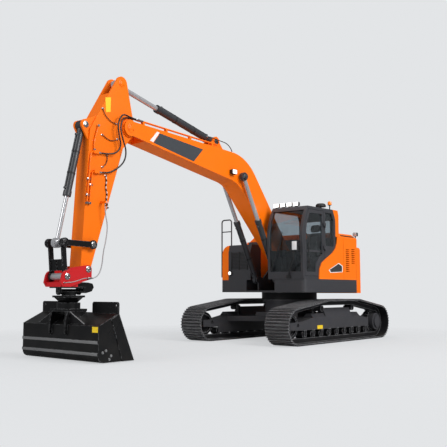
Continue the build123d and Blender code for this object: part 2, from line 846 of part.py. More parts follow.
with BuildPart() as door_glass:
    upper = clipped(door_outline(leaf_y - pane_in, panel_gap + 75 + seal), door_rear_x, cab_nose_x,
                    window_rise + seal, cab_roof_z, leaf_y - pane_in)
    lower = clipped(door_outline(leaf_y - pane_in, panel_gap + 75 + seal), door_rear_x, cab_nose_x, sill_z,
                    window_rise - window_bar - seal, leaf_y - pane_in)
    extrude(upper, amount=glass_thick)
    extrude(lower, amount=glass_thick)
keep(door_glass, "door_glass")

# Cover that closes the cab's lower rear corner outside
cover_in_y = cab_left_y + 1
cover_gap = 26
cover_edge = [(x - cover_gap, z - cover_gap) for x, z in reversed(door_cut)]
cover_top = ((200, 2005), (70, 2110), (10, 2230), (-20, panel_top_z))
cover_rear_x = bay_split_x + panel_gap
vent = ((374, 1612), (-57, 1776), (-222, 1719), (-217, 1579), (304, 1553))
vent_depth = 10
strip_rear_x = -118
strip_width = 100
with BuildPart() as side_cover:
    with BuildSketch(side_plane(house_half_width)):
        with BuildLine():
            Polyline((cover_rear_x, deck_top_z), (cover_edge[0][0], deck_top_z), *cover_edge, *cover_top,
                     (cover_rear_x, panel_top_z), close=True)
        make_face()
    extrude(amount=house_half_width - cover_in_y)
    with BuildSketch(side_plane(house_half_width)):
        with BuildLine():
            Polyline(*vent, close=True)
        make_face()
    extrude(amount=vent_depth, mode=Mode.SUBTRACT)
    with BuildSketch(side_plane(cab_left_y)):
        with BuildLine():
            Polyline((strip_rear_x, panel_top_z + 6), (cab_rear_x, panel_top_z + 6),
                     (cab_rear_x, cab_roof_z - 2 * cab_rear_slope), (cab_rear_x + cab_rear_slope, cab_roof_z),
                     (strip_rear_x + 40, cab_roof_z), (strip_rear_x, cab_roof_z - 120), close=True)
        make_face()
    extrude(amount=strip_width)
keep(side_cover, "left_side_cover")

# Seat and controls inside the cab
cab_mid_y = (cab_left_y + cab_right_y) / 2
floor_z = deck_top_z + cab_wall
seat_x = 330
with BuildPart() as seat:
    block(seat_x - 150, seat_x + 200, cab_mid_y - 180, cab_mid_y + 180, floor_z, floor_z + 330)
    block(seat_x - 200, seat_x + 290, cab_mid_y - 250, cab_mid_y + 250, floor_z + 330, floor_z + 450)
    with BuildSketch(side_plane(cab_mid_y + 240)):
        with BuildLine():
            Polyline((seat_x - 200, floor_z + 450), (seat_x - 60, floor_z + 450), (seat_x - 130, floor_z + 1040),
                     (seat_x - 240, floor_z + 1040), close=True)
        make_face()
    extrude(amount=480)
    with BuildSketch(side_plane(cab_mid_y + 130)):
        with BuildLine():
            Polyline((seat_x - 225, floor_z + 1040), (seat_x - 140, floor_z + 1040),
                     (seat_x - 160, floor_z + 1230), (seat_x - 230, floor_z + 1230), close=True)
        make_face()
    extrude(amount=260)
keep(seat, "cab_seat")
with BuildPart() as controls:
    for side in (1, -1):
        y = cab_mid_y + side * 340
        block(seat_x - 150, seat_x + 420, y - 75, y + 75, floor_z, floor_z + 600)
        with BuildSketch(Plane.XY.offset(floor_z + 600)):
            with Locations((seat_x + 340, y)):
                Circle(22)
        extrude(amount=210)
    for side in (1, -1):
        y = cab_mid_y + side * 90
        with BuildSketch(side_plane(y + 15)):
            with BuildLine():
                Polyline((cab_front_x - 330, floor_z), (cab_front_x - 250, floor_z),
                         (cab_front_x - 300, floor_z + 560), (cab_front_x - 340, floor_z + 560), close=True)
            make_face()
        extrude(amount=30)
keep(controls, "cab_controls")

# Work lamps: a row on the roof's front edge and a round one on the tool box
lamp_count = 4
lamp_pitch = 175
lamp_width = 140
lamp_height = 86
lamp_depth = 70
lamp_foot = 18
lamp_front_x = cab_roof_front_x - 12
lamp_mid_y = cab_mid_y - 120
box_lamp_y = -1030
box_lamp_z = 1564
box_lamp_radius = 48
box_lamp_depth = 45
with BuildPart() as work_lamps:
    for index in range(lamp_count):
        y = lamp_mid_y + (index - (lamp_count - 1) / 2) * lamp_pitch
        block(lamp_front_x - lamp_depth + 10, lamp_front_x - 20, y - 30, y + 30, cab_roof_z,
              cab_roof_z + lamp_foot)
        with BuildSketch(Plane.YZ.offset(lamp_front_x - lamp_depth)) as head:
            with Locations((y, cab_roof_z + lamp_foot + lamp_height / 2)):
                RectangleRounded(lamp_width, lamp_height, 16)
        extrude(head.sketch, amount=lamp_depth)
    with BuildSketch(Plane.YZ.offset(deck_front_right_x)) as head:
        with Locations((box_lamp_y, box_lamp_z)):
            Circle(box_lamp_radius)
    extrude(head.sketch, amount=box_lamp_depth)
keep(work_lamps, "work_lamps")

# Beacon and aerial dome on the roof's rear
beacon_x = cab_rear_x + cab_rear_slope + 30
beacon_y = cab_left_y - 60
aerial_x = beacon_x + 110
aerial_y = cab_left_y - 230
beacon_foot_z = cab_roof_z + 105
beacon_top_z = cab_roof_z + 190
beacon_radius = 42
aerial_foot_z = cab_roof_z + 70
aerial_top_z = cab_roof_z + 150
aerial_radius = 118
with BuildPart() as roof_fittings:
    upright(beacon_x, beacon_y, cab_roof_z, beacon_foot_z, 13)
    upright(beacon_x, beacon_y, beacon_foot_z, beacon_top_z, beacon_radius)
    fillet(edges().group_by(Axis.Z)[-1], beacon_radius - 18)
    upright(aerial_x, aerial_y, cab_roof_z, aerial_foot_z, 18)
    with BuildPart() as dome:
        upright(aerial_x, aerial_y, aerial_foot_z, aerial_top_z, aerial_radius)
        fillet(dome.edges().group_by(Axis.Z)[-1], aerial_radius / 2)
    add(dome.part)
keep(roof_fittings, "roof_fittings")


def cab_face_x(z):
    """Where the lower part of the cab's front face stands at this height."""
    return cab_front_x + (z - deck_top_z) * (cab_nose_x - cab_front_x) / (cab_nose_z - deck_top_z)


# Front mirror on a bent stay, and a small one over the tail
stay_foot_y = 950
stay_foot_z = (1415, 1485)
stay_plate = 40
stay_radius = 13
mirror_x = 1590
mirror_y = 1248
mirror_z = 2105
mirror_width = 130
mirror_height = 195
mirror_depth = 44
tail_mirror_x = -1100
tail_mirror_y = 1210
tail_mirror_z = 2515
tail_mirror_width = 110
tail_mirror_height = 90
tail_mirror_depth = 60
tail_mirror_front = 25    # from the post to the head's front
with BuildPart() as mirrors:
    low, high = stay_foot_z
    with BuildSketch(side_plane(stay_foot_y + 45)) as foot:
        with BuildLine():
            Polyline((cab_face_x(low), low), (cab_face_x(high) + stay_plate, low),
                     (cab_face_x(high) + stay_plate, high), (cab_face_x(high), high), close=True)
        make_face()
    extrude(foot.sketch, amount=90)
    tube(((cab_face_x(high) + stay_plate - 20, stay_foot_y, high - 1), (1480, 1060, 1640),
          (mirror_x, mirror_y - 40, 1830), (mirror_x, mirror_y - 40, mirror_z)), 60, stay_radius)
    with BuildSketch(Plane.YZ.offset(mirror_x - mirror_depth / 2)) as head:
        with Locations((mirror_y, mirror_z)):
            RectangleRounded(mirror_width, mirror_height, 22)
    extrude(head.sketch, amount=mirror_depth)
    upright(tail_mirror_x, tail_mirror_y, weight_top_z, tail_mirror_z, stay_radius)
    with BuildSketch(Plane.YZ.offset(tail_mirror_x + tail_mirror_front)) as head:
        with Locations((tail_mirror_y, tail_mirror_z)):
            RectangleRounded(tail_mirror_width, tail_mirror_height, 20)
    extrude(head.sketch, amount=-tail_mirror_depth)
keep(mirrors, "mirrors")

# Handrail at the right front, from the corner cover's side to the tool box's top
rail_radius = 16
rail_x = 890
rail_out_y = -house_half_width - 28
rail_in_y = -1070
rail_low_z = 1470
rail_mid_z = 2580
rail_top_z = 2870
with BuildPart() as handrail:
    tube(((rail_x, rail_out_y, rail_low_z), (rail_x, rail_out_y, rail_top_z), (rail_x, rail_in_y, rail_top_z),
          (rail_x, rail_in_y, box_top_z)), 70, rail_radius)
    pin((rail_x, rail_mid_z), rail_out_y, rail_in_y, rail_radius - 3)
    for z in (rail_low_z + 40, rail_low_z + 480):
        pin((rail_x, z), rail_out_y, -house_half_width, rail_radius - 3)
keep(handrail, "handrail")

# Boom: two legs that meet at the knee, a box of plates with a fork at the nose
boom_nose = (boom_nose_x, boom_nose_z)
boom_knee = (boom_knee_x, boom_knee_z)
boom_cyl_eye = (boom_cyl_eye_x, boom_cyl_eye_z)
arm_cyl_foot = (arm_cyl_foot_x, arm_cyl_foot_z)
lower_way = heading(boom_foot, boom_knee)
upper_way = heading(boom_knee, boom_nose)
knee_way = (lower_way + upper_way) / 2
knee_top_round = 1100
knee_bottom_round = 700


def boom_outline(y, inset):
    """The boom's side outline, drawn in by the inset."""
    with BuildSketch(side_plane(y)) as outline:
        with BuildLine():
            Polyline(beside(boom_foot, lower_way, 0, boom_foot_half - inset),
                     beside(boom_knee, knee_way, 0, boom_knee_half - inset),
                     beside(boom_nose, upper_way, 0, boom_nose_half - inset),
                     beside(boom_nose, upper_way, 0, inset - boom_nose_half),
                     beside(boom_knee, knee_way, 0, inset - boom_knee_half),
                     beside(boom_foot, lower_way, 0, inset - boom_foot_half), close=True)
        make_face()
        top = outline.vertices().sort_by_distance((*beside(boom_knee, knee_way, 0, boom_knee_half), 0))[0]
        fillet(top, knee_top_round)
        low = outline.vertices().sort_by_distance((*beside(boom_knee, knee_way, 0, -boom_knee_half), 0))[0]
        fillet(low, knee_bottom_round)
    return outline.sketch


lug_in = 78
lug_thick = 40
eye_boss = 110
boom_boss_out = boom_half_width + 11
with BuildPart() as boom:
    extrude(boom_outline(boom_half_width, 0), amount=2 * boom_half_width)
    pin(boom_foot, -boom_half_width, boom_half_width, boom_foot_radius)
    pin(boom_nose, -boom_half_width, boom_half_width, boom_nose_radius)
    hollow = boom_outline(boom_half_width - boom_plate, boom_plate)
    ends = clipped(hollow, boom_foot_x + 260, boom_nose_x - boom_fork_reach - 40, 0, 6000,
                   boom_half_width - boom_plate)
    extrude(ends, amount=2 * (boom_half_width - boom_plate), mode=Mode.SUBTRACT)
    pin(boom_cyl_eye, -boom_boss_out, boom_boss_out, eye_boss)
    with BuildSketch(side_plane(boom_fork_in)):
        with Locations(boom_nose):
            Circle(boom_fork_reach)
    extrude(amount=2 * boom_fork_in, mode=Mode.SUBTRACT)
    bore(boom_foot, -boom_half_width - 1, boom_half_width + 1, boom_pin_radius + pin_gap)
    for lug in (lug_in + lug_thick, -lug_in):
        with BuildSketch(side_plane(lug)):
            with Locations(arm_cyl_foot):
                Circle(105)
            with BuildLine():
                Polyline(beside(arm_cyl_foot, upper_way, -105, 0), beside(arm_cyl_foot, upper_way, 105, 0),
                         beside(arm_cyl_foot, upper_way, 330, -210), beside(arm_cyl_foot, upper_way, -330, -210),
                         close=True)
            make_face()
        extrude(amount=lug_thick)
    pin(arm_cyl_foot, -lug_in, lug_in, arm_pin_radius)
    pin(boom_nose, -boom_fork_in, boom_fork_in, boom_pin_radius)
keep(boom, "boom")

# Lamp on the boom's left side
boom_lamp_x = 2457
boom_lamp_z = 3690
boom_lamp_foot = 22
boom_lamp_depth = 70
with BuildPart() as boom_lamp:
    pin((boom_lamp_x, boom_lamp_z), boom_half_width, boom_half_width + boom_lamp_foot, 34)
    with BuildSketch(side_plane(boom_half_width + boom_lamp_foot + boom_lamp_depth)):
        with Locations((boom_lamp_x, boom_lamp_z)):
            RectangleRounded(150, 104, 24)
    extrude(amount=boom_lamp_depth)
keep(boom_lamp, "boom_lamp")

# Pipes along the boom's top, two on each side, on clamps
pipe_radius = 13
pipe_lift = 62
pipe_places = (170, 201)
pipe_ends = (980, 3240)       # along the boom's upper edge from the knee
clamp_places = (1150, 1830, 2510, 3120)
clamp_half = 26
clamp_edge = 12
knee_top = beside(boom_knee, knee_way, 0, boom_knee_half)
nose_top = beside(boom_nose, upper_way, 0, boom_nose_half)
top_way = heading(knee_top, nose_top)
with BuildPart() as boom_pipes:
    for side in (1, -1):
        for place in pipe_places:
            start = beside(knee_top, top_way, pipe_ends[0], pipe_lift)
            round_bar(start, beside(start, top_way, 1, 0), side * place, 0, pipe_ends[1] - pipe_ends[0],
                      pipe_radius)
        near, far = sorted((side * (pipe_places[0] - clamp_edge), side * (pipe_places[1] + clamp_edge)))
        for along in clamp_places:
            with BuildSketch(side_plane(far)) as clamp:
                with BuildLine():
                    Polyline(beside(knee_top, top_way, along - clamp_half, 0),
                             beside(knee_top, top_way, along + clamp_half, 0),
                             beside(knee_top, top_way, along + clamp_half, pipe_lift),
                             beside(knee_top, top_way, along - clamp_half, pipe_lift), close=True)
                make_face()
            extrude(clamp.sketch, amount=far - near)
keep(boom_pipes, "boom_pipes")

# Arm: a tapered box, with ears for the arm cylinder and lugs for the bucket cylinder
arm_tip = (arm_tip_x, arm_tip_z)
arm_heel = (arm_heel_x, arm_heel_z)
rocker_pin = (rocker_pin_x, rocker_pin_z)
tool_cyl_foot = (tool_cyl_foot_x, tool_cyl_foot_z)
arm_shoulder = (arm_shoulder_x, arm_shoulder_z)
arm_belly = (arm_belly_x, arm_belly_z)
arm_way = heading(boom_nose, arm_tip)
heel_radius = 125
arm_nose_radius = 170
heel_slot = 110


def arm_outline(y):
    """The arm's side outline, with its round bosses."""
    with BuildSketch(side_plane(y)) as outline:
        with BuildLine():
            Polyline(beside(arm_heel, heading(arm_heel, arm_shoulder), 0, heel_radius), arm_shoulder,
                     beside(arm_tip, arm_way, 0, arm_tip_radius), beside(arm_tip, arm_way, 0, -arm_tip_radius),
                     arm_belly, beside(boom_nose, arm_way, 0, -arm_nose_radius),
                     beside(arm_heel, heading(boom_nose, arm_heel), 0, heel_radius), close=True)
        make_face()
        with Locations(arm_heel):
            Circle(heel_radius)
        with Locations(arm_tip):
            Circle(arm_tip_radius)
    return outline.sketch


heel_reach = 370
hose_landings = ((6110, 3545), (6090, 3200))     # where the hoses from the boom end on the arm
hose_land_y = 190
fitting_half = 26
fitting_length = 105
tool_hose_x = 5990
tool_hose_y = 262
tool_hose_z = 2660
tool_hose_end = (6290, 1350)
tool_fitting_half = 18


def hose_start(index, along):
    """A point this far out of a boom pipe's end."""
    x, z = beside(knee_top, top_way, pipe_ends[1] + along, pipe_lift)
    return (x, pipe_places[index], z)


def hose_end(index, before):
    """A point this far before a hose's fitting on the arm."""
    x, z = hose_landings[index]
    return (x - before, hose_land_y, z)


rocker_out = rocker_in + rocker_plate
coupler_out = coupler_plate_in + coupler_plate
with BuildPart() as arm:
    extrude(arm_outline(arm_half_width), amount=2 * arm_half_width)
    with BuildSketch(side_plane(arm_half_width - arm_plate)) as core:
        add(arm_outline(0).moved(Location((0, arm_half_width - arm_plate, 0))))
        offset(amount=-arm_plate - 8, kind=Kind.INTERSECTION)
    cavity = clipped(core.sketch, 5000, 7000, rocker_pin_z + 260, boom_nose_z - 240, arm_half_width - arm_plate)
    extrude(cavity, amount=2 * (arm_half_width - arm_plate), mode=Mode.SUBTRACT)
    pin(boom_nose, -arm_boss_half, arm_boss_half, arm_nose_radius)
    bore(boom_nose, -arm_boss_half - 1, arm_boss_half + 1, boom_pin_radius + pin_gap)
    with BuildSketch(side_plane(heel_slot)):
        with Locations(arm_heel):
            Circle(heel_reach)
    extrude(amount=2 * heel_slot, mode=Mode.SUBTRACT)
    for lug in (lug_in + lug_thick, -lug_in):
        with BuildSketch(side_plane(lug)):
            with Locations(tool_cyl_foot):
                Circle(95)
            with BuildLine():
                Polyline((tool_cyl_foot_x + 60, tool_cyl_foot_z + 74),
                         (arm_shoulder_x - 150, tool_cyl_foot_z + 190),
                         (arm_shoulder_x - 150, tool_cyl_foot_z - 260),
                         (arm_shoulder_x + 20, tool_cyl_foot_z - 260),
                         (tool_cyl_foot_x + 74, tool_cyl_foot_z - 60), close=True)
            make_face()
        extrude(amount=lug_thick)
    pin(tool_cyl_foot, -lug_in, lug_in, arm_pin_radius)
    pin(rocker_pin, -rocker_out, rocker_out, arm_pin_radius)
    pin(arm_tip, -coupler_out, coupler_out, arm_pin_radius)
    for x, z in hose_landings:
        block(x, x + fitting_length, arm_half_width - 1, hose_land_y + fitting_half, z - fitting_half,
              z + fitting_half)
    block(tool_hose_x - tool_fitting_half, tool_hose_x + tool_fitting_half, arm_half_width - 1,
          tool_hose_y + tool_fitting_half, tool_hose_z, tool_hose_z + 2 * tool_fitting_half)
keep(arm, "arm")

# Hoses over the arm's pivot, and one to the coupler
hose_diameter = 28
upper_route = (hose_start(1, hose_gap), hose_start(1, 215), (5620, 264, 4335), (5745, 275, 4130),
               (5700, 268, 3905), (5630, 250, 3735), (5725, 235, 3585), hose_end(0, 185),
               hose_end(0, hose_gap))
lower_route = (hose_start(0, hose_gap), hose_start(0, 190), (5580, 228, 4272), (5660, 244, 4070),
               (5600, 254, 3860), (5515, 258, 3670), (5540, 250, 3470), (5690, 230, 3315),
               hose_end(1, 200), hose_end(1, hose_gap))
keep(hose("arm_hose_upper", upper_route, hose_diameter), "arm_hose_upper")
keep(hose("arm_hose_lower", lower_route, hose_diameter), "arm_hose_lower")
tool_hose_diameter = 20
tool_way = ((tool_hose_x, tool_hose_z - hose_gap), (tool_hose_x, 2490), (5925, 2270), (5955, 2030),
            (6015, 1800), (6035, 1590), (6090, 1425), (tool_hose_end[0] - 90, tool_hose_end[1]), tool_hose_end)
tool_route = [(x, tool_hose_y, z) for x, z in tool_way]
keep(hose("coupler_hose", tool_route, tool_hose_diameter), "coupler_hose")

# Hydraulic cylinders: a barrel that turns on its foot pin and a rod that slides in it
gland_length = 90
gland_lip = 9
barrel_floor = 150


def add_barrel(start, end, y, radius, rod, length, eye_half, pin_radius):
    eye = pin_radius + 45
    pin(start, y - eye_half, y + eye_half, eye)
    round_bar(start, end, y, eye - 8, length, radius)
    round_bar(start, end, y, length - gland_length, length, radius + gland_lip)
    round_bar(start, end, y, barrel_floor, length - gland_length, radius - barrel_wall, Mode.SUBTRACT)
    round_bar(start, end, y, length - gland_length - 1, length, rod + run_gap, Mode.SUBTRACT)
    bore(start, y - eye_half - 1, y + eye_half + 1, pin_radius + pin_gap)


def add_rod(start, end, y, radius, rod, inner_end, eye_half, stub_half, pin_radius):
    eye = pin_radius + 42
    reach = distance(start, end)
    round_bar(start, end, y, inner_end, reach - eye + 10, rod)
    round_bar(start, end, y, inner_end, inner_end + 70, radius - barrel_wall - run_gap)
    pin(end, y - eye_half, y + eye_half, eye)
    pin(end, y - stub_half, y + stub_half, pin_radius)


boom_rod_in = 890
arm_rod_in = 845
tool_rod_in = 600
arm_eye_half = 62
tool_eye_half = 46
rocker_eye = (rocker_eye_x, rocker_eye_z)
tool_link = (tool_link_x, tool_link_z)
with BuildPart() as boom_barrels:
    for y in (boom_cyl_y, -boom_cyl_y):
        add_barrel(boom_cyl_foot, boom_cyl_eye, y, boom_cyl_radius, boom_cyl_rod, boom_cyl_barrel,
                   boom_cyl_eye_half, boom_pin_radius)
keep(boom_barrels, "boom_cylinder_barrels")
with BuildPart() as boom_rods:
    for y in (boom_cyl_y, -boom_cyl_y):
        add_rod(boom_cyl_foot, boom_cyl_eye, y, boom_cyl_radius, boom_cyl_rod, boom_rod_in,
                boom_cyl_eye_half, boom_cyl_y - boom_boss_out - 2, boom_pin_radius)
keep(boom_rods, "boom_cylinder_rods")
with BuildPart() as arm_barrel:
    add_barrel(arm_cyl_foot, arm_heel, 0, arm_cyl_radius, arm_cyl_rod, arm_cyl_barrel, arm_eye_half,
               arm_pin_radius)
keep(arm_barrel, "arm_cylinder_barrel")
with BuildPart() as arm_rod:
    add_rod(arm_cyl_foot, arm_heel, 0, arm_cyl_radius, arm_cyl_rod, arm_rod_in, arm_eye_half,
            heel_slot - side_gap, arm_pin_radius)
keep(arm_rod, "arm_cylinder_rod")
with BuildPart() as tool_barrel:
    add_barrel(tool_cyl_foot, rocker_eye, 0, tool_cyl_radius, tool_cyl_rod, tool_cyl_barrel, arm_eye_half,
               arm_pin_radius)
keep(tool_barrel, "bucket_cylinder_barrel")
with BuildPart() as tool_rod:
    add_rod(tool_cyl_foot, rocker_eye, 0, tool_cyl_radius, tool_cyl_rod, tool_rod_in, tool_eye_half,
            tool_eye_half + 30, arm_pin_radius)
keep(tool_rod, "bucket_cylinder_rod")


def link_outline(start, end, y, start_radius, end_radius, half):
    """A straight link's outline between two round ends."""
    way = heading(start, end)
    with BuildSketch(side_plane(y)) as outline:
        with Locations(start):
            Circle(start_radius)
        with Locations(end):
            Circle(end_radius)
        with BuildLine():
            Polyline(beside(start, way, 0, half), beside(end, way, 0, half), beside(end, way, 0, -half),
                     beside(start, way, 0, -half), close=True)
        make_face()
    return outline.sketch


# Rocker links outside the arm
rocker_boss = 78
with BuildPart() as rockers:
    for y in (rocker_out, -rocker_in):
        extrude(link_outline(rocker_pin, rocker_eye, y, rocker_boss, rocker_boss, rocker_half),
                amount=rocker_plate)
    bore(rocker_pin, -rocker_out - 1, rocker_out + 1, arm_pin_radius + pin_gap)
keep(rockers, "rocker_links")

# H link from the coupler up to the rockers: two bars and a web with a row of holes
link_boss = 74
link_half = 44
web_from = 100
web_to = 290
web_half = 24
web_hole = 22
web_hole_edge = 33
link_way = heading(tool_link, rocker_eye)
with BuildPart() as h_link:
    for y in (link_bar_in + link_bar, -link_bar_in):
        extrude(link_outline(tool_link, rocker_eye, y, link_boss, link_boss, link_half), amount=link_bar)
    with BuildSketch(side_plane(link_bar_in)):
        with BuildLine():
            Polyline(beside(tool_link, link_way, web_from, web_half),
                     beside(tool_link, link_way, web_to, web_half),
                     beside(tool_link, link_way, web_to, -web_half),
                     beside(tool_link, link_way, web_from, -web_half), close=True)
        make_face()
    extrude(amount=2 * link_bar_in)
    bore(tool_link, -link_bar_in - link_bar - 1, link_bar_in + link_bar + 1, arm_pin_radius + pin_gap)
    for along in (web_from + web_hole_edge, (web_from + web_to) / 2, web_to - web_hole_edge):
        x, z = beside(tool_link, link_way, along, -web_half - 1)
        across = (-sin(link_way), 0, cos(link_way))
        with BuildSketch(Plane(origin=(x, 0, z), x_dir=(0, 1, 0), z_dir=across)) as hole:
            Circle(web_hole)
        extrude(hole.sketch, amount=2 * web_half + 2, mode=Mode.SUBTRACT)
keep(h_link, "h_link")

# Quick coupler: two side plates on the arm tip and link pins, joined below by a bed
coupler_boss = 70
bed_top_z = 1280
with BuildPart() as coupler:
    for y in (coupler_out, -coupler_plate_in):
        with BuildSketch(side_plane(y)):
            with Locations(arm_tip):
                Circle(coupler_boss)
            with Locations(tool_link):
                Circle(100)
            with BuildLine():
                Polyline(beside(arm_tip, 0, 0, coupler_boss), (tool_link_x - 80, tool_link_z + 150),
                         (tool_link_x + 100, tool_link_z + 30), (tool_link_x + 130, coupler_bottom_z + 70),
                         (tool_link_x + 80, coupler_bottom_z), (tool_link_x - 70, coupler_bottom_z),
                         (arm_tip_x + 110, coupler_bottom_z + 85), (arm_tip_x - 70, coupler_bottom_z + 133),
                         beside(arm_tip, 0, -coupler_boss, 0), close=True)
            make_face()
            with Locations(arm_tip):
                Circle(arm_pin_radius + pin_gap, mode=Mode.SUBTRACT)
        extrude(amount=coupler_plate)
    block(tool_link_x - 250, tool_link_x + 100, -coupler_plate_in, coupler_plate_in, coupler_bottom_z, bed_top_z)
    pin(tool_link, -coupler_out, coupler_out, arm_pin_radius)
keep(coupler, "quick_coupler")

# Tilt bracket clamped under the coupler, with a hook at its rear and two ends for the tilt axle
bracket_plate = 20
bracket_top_z = coupler_bottom_z
bracket_half = 150
end_plate = 35
end_front_x = rotor_x + rotor_reach
end_rear_x = rotor_x - rotor_reach
tilt_axle = 26
hook = ((end_rear_x, coupler_bottom_z - bracket_plate), (6470, coupler_bottom_z - bracket_plate),
        (6470, coupler_bottom_z), (6405, 1262),
        (6290, 1284), (6200, 1280), (6110, 1262), (6082, 1200), (6125, 1130), (6245, 1100),
        (end_rear_x, 1140))
hook_half = 110
with BuildPart() as tilt_bracket:
    block(end_rear_x, end_front_x + 60, -bracket_half, bracket_half, bracket_top_z - bracket_plate, bracket_top_z)
    for x in (end_rear_x, end_front_x - end_plate):
        with BuildSketch(Plane.YZ.offset(x)):
            with Locations((0, tilt_axis_z)):
                Circle(tilt_plate_radius)
            with Locations((0, (tilt_axis_z + bracket_top_z - bracket_plate) / 2)):
                Rectangle(2 * tilt_plate_radius, bracket_top_z - bracket_plate - tilt_axis_z)
            with Locations((0, tilt_axis_z)):
                Circle(tilt_axle + pin_gap, mode=Mode.SUBTRACT)
        extrude(amount=end_plate)
    with BuildSketch(side_plane(hook_half)):
        with BuildLine():
            Polyline(*hook, close=True)
        make_face()
    extrude(amount=2 * hook_half)
keep(tilt_bracket, "tilt_bracket")

# Rotor housing: a drum on the tilt axle, a round flange and a cone below it
flange_top_z = tilt_axis_z - tilt_plate_radius - side_gap
flange_bottom_z = flange_top_z - rotor_flange
drum_half = rotor_reach - end_plate - side_gap
with BuildPart() as rotor_housing:
    for radius, half in ((tilt_drum_radius, drum_half), (tilt_axle, rotor_reach)):
        with BuildSketch(Plane.YZ.offset(rotor_x)):
            with Locations((0, tilt_axis_z)):
                Circle(radius)
        extrude(amount=half, both=True)
    upright(rotor_x, 0, flange_bottom_z, flange_top_z, rotor_radius)
    upright(rotor_x, 0, flange_top_z, tilt_axis_z, rotor_neck_radius)
    with BuildSketch(Plane.XY.offset(flange_bottom_z)):
        with Locations((rotor_x, 0)):
            Circle(rotor_radius - 30)
    with BuildSketch(Plane.XY.offset(rotor_foot_z)):
        with Locations((rotor_x, 0)):
            Circle(rotor_foot_radius)
    loft()
keep(rotor_housing, "rotor_housing")

# Turning hitch under the rotor, which holds the bucket
hitch_top_z = rotor_foot_z - run_gap
hitch_radius = 195
hitch_bottom_z = 800
hitch_half = 230
with BuildPart() as hitch:
    with BuildSketch(Plane.XY.offset(hitch_bottom_z + 40)):
        with Locations((rotor_x, 0)):
            Circle(hitch_radius)
    extrude(amount=hitch_top_z - hitch_bottom_z - 40)
    block(rotor_x - 210, rotor_x + 200, -hitch_half, hitch_half, hitch_bottom_z, hitch_bottom_z + 40)
keep(hitch, "turning_hitch")

# Ditch bucket: one bent plate between two side plates, ears above and a guard along the rim
bucket_round = 110
ear_in = 185
ear_plate = 40
guard_from = 370
guard_top_z = 960
guard_round = 42
guard_hole = 22
gusset_x = 6655
gusset_out = 620
doubler = 12
side_holes = ((6557, 201), (6623, 171), (6451, 114), (6487, 60))
wear_strips = ((124, 174), (307, 357))
wear_plate = 14
lip_z = bucket_bottom_z


def bucket_outline(y):
    with BuildSketch(side_plane(y)) as outline:
        with BuildLine():
            Polyline((bucket_lip_x, lip_z), (bucket_back_x, lip_z), (bucket_back_x, bucket_back_z),
                     (bucket_rim_x, bucket_rim_z), close=True)
        make_face()
        heel = outline.vertices().sort_by_distance((bucket_back_x, lip_z, 0))[0]
        fillet(heel, bucket_round)
    return outline.sketch


lid_way = heading((bucket_back_x, bucket_back_z), (bucket_rim_x, bucket_rim_z))
with BuildPart() as bucket:
    extrude(bucket_outline(bucket_half_width), amount=2 * bucket_half_width)
    inner_y = bucket_half_width - bucket_plate
    with BuildSketch(side_plane(inner_y)) as scoop:
        with BuildLine():
            Polyline((bucket_lip_x - 200, lip_z + bucket_plate),
                     (bucket_back_x - bucket_plate, lip_z + bucket_plate),
                     beside((bucket_back_x - bucket_plate, bucket_back_z), lid_way, 0, bucket_plate),
                     beside((bucket_rim_x, bucket_rim_z), lid_way, 200, bucket_plate), close=True)
        make_face()
        heel = scoop.vertices().sort_by_distance((bucket_back_x, lip_z, 0))[0]
        fillet(heel, bucket_round - bucket_plate)
    extrude(amount=2 * inner_y, mode=Mode.SUBTRACT)
    for y in (ear_in + ear_plate, -ear_in):
        with BuildSketch(side_plane(y)):
            with BuildLine():
                Polyline((bucket_rim_x + 30, bucket_rim_z - 20), (bucket_rim_x + 30, hitch_bottom_z),
                         (rotor_x + 190, hitch_bottom_z), (bucket_back_x + 45, bucket_back_z + 60),
                         (bucket_back_x + 45, bucket_back_z - 140), (bucket_back_x - 10, bucket_back_z - 180),
                         (bucket_back_x - 10, bucket_back_z - 5), close=True)
            make_face()
        extrude(amount=ear_plate)
    for side in (1, -1):
        with BuildSketch(Plane.YZ.offset(bucket_rim_x - 6)) as guard:
            with BuildLine():
                Polyline((side * guard_from, bucket_rim_z - 18), (side * bucket_half_width, bucket_rim_z - 18),
                         (side * bucket_half_width, guard_top_z), (side * guard_from, guard_top_z), close=True)
            make_face()
            fillet(guard.vertices().group_by(Axis.Y)[-1], guard_round)
            with Locations((side * (bucket_half_width - 60), guard_top_z - 55)):
                Circle(guard_hole, mode=Mode.SUBTRACT)
        extrude(guard.sketch, amount=30)
        with BuildSketch(Plane.YZ.offset(gusset_x)) as gusset:
            with BuildLine():
                Polyline((side * (ear_in + ear_plate - 5), hitch_bottom_z),
                         (side * (ear_in + ear_plate - 5), bucket_back_z + 10),
                         (side * gusset_out, bucket_back_z + 10), close=True)
            make_face()
        extrude(gusset.sketch, amount=22)
        near, far = sorted((side * (bucket_half_width - 1), side * (bucket_half_width + doubler)))
        with BuildSketch(side_plane(far)) as cheek:
            with BuildLine():
                Polyline((bucket_lip_x + 12, lip_z), (bucket_lip_x + 266, lip_z),
                         (bucket_rim_x + 160, bucket_rim_z - 95),
                         (bucket_rim_x + 9, bucket_rim_z - 14), close=True)
            make_face()
        extrude(cheek.sketch, amount=far - near)
        for x, z in side_holes:
            bore((x, z), side * bucket_half_width - 40, side * bucket_half_width + 40, 14)
    for low, high in wear_strips:
        block(bucket_back_x - 1, bucket_back_x + wear_plate, -bucket_half_width, bucket_half_width, low, high)
keep(bucket, "ditch_bucket")
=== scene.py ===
# %% [markdown]
# # Dressing a crawler excavator
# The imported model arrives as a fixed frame: every plate, pin and cylinder is already in its place,
# in metres, with X forward, Y to the cab's side and Z up. This lesson adds what the plates lack:
# paint, glass, lamps, pin caps, bolts, labels, hoses and a padded seat.

# %% Load the frame
import json
from math import cos, pi, radians, sin

import bmesh
import bpy
from mathutils import Matrix, Vector


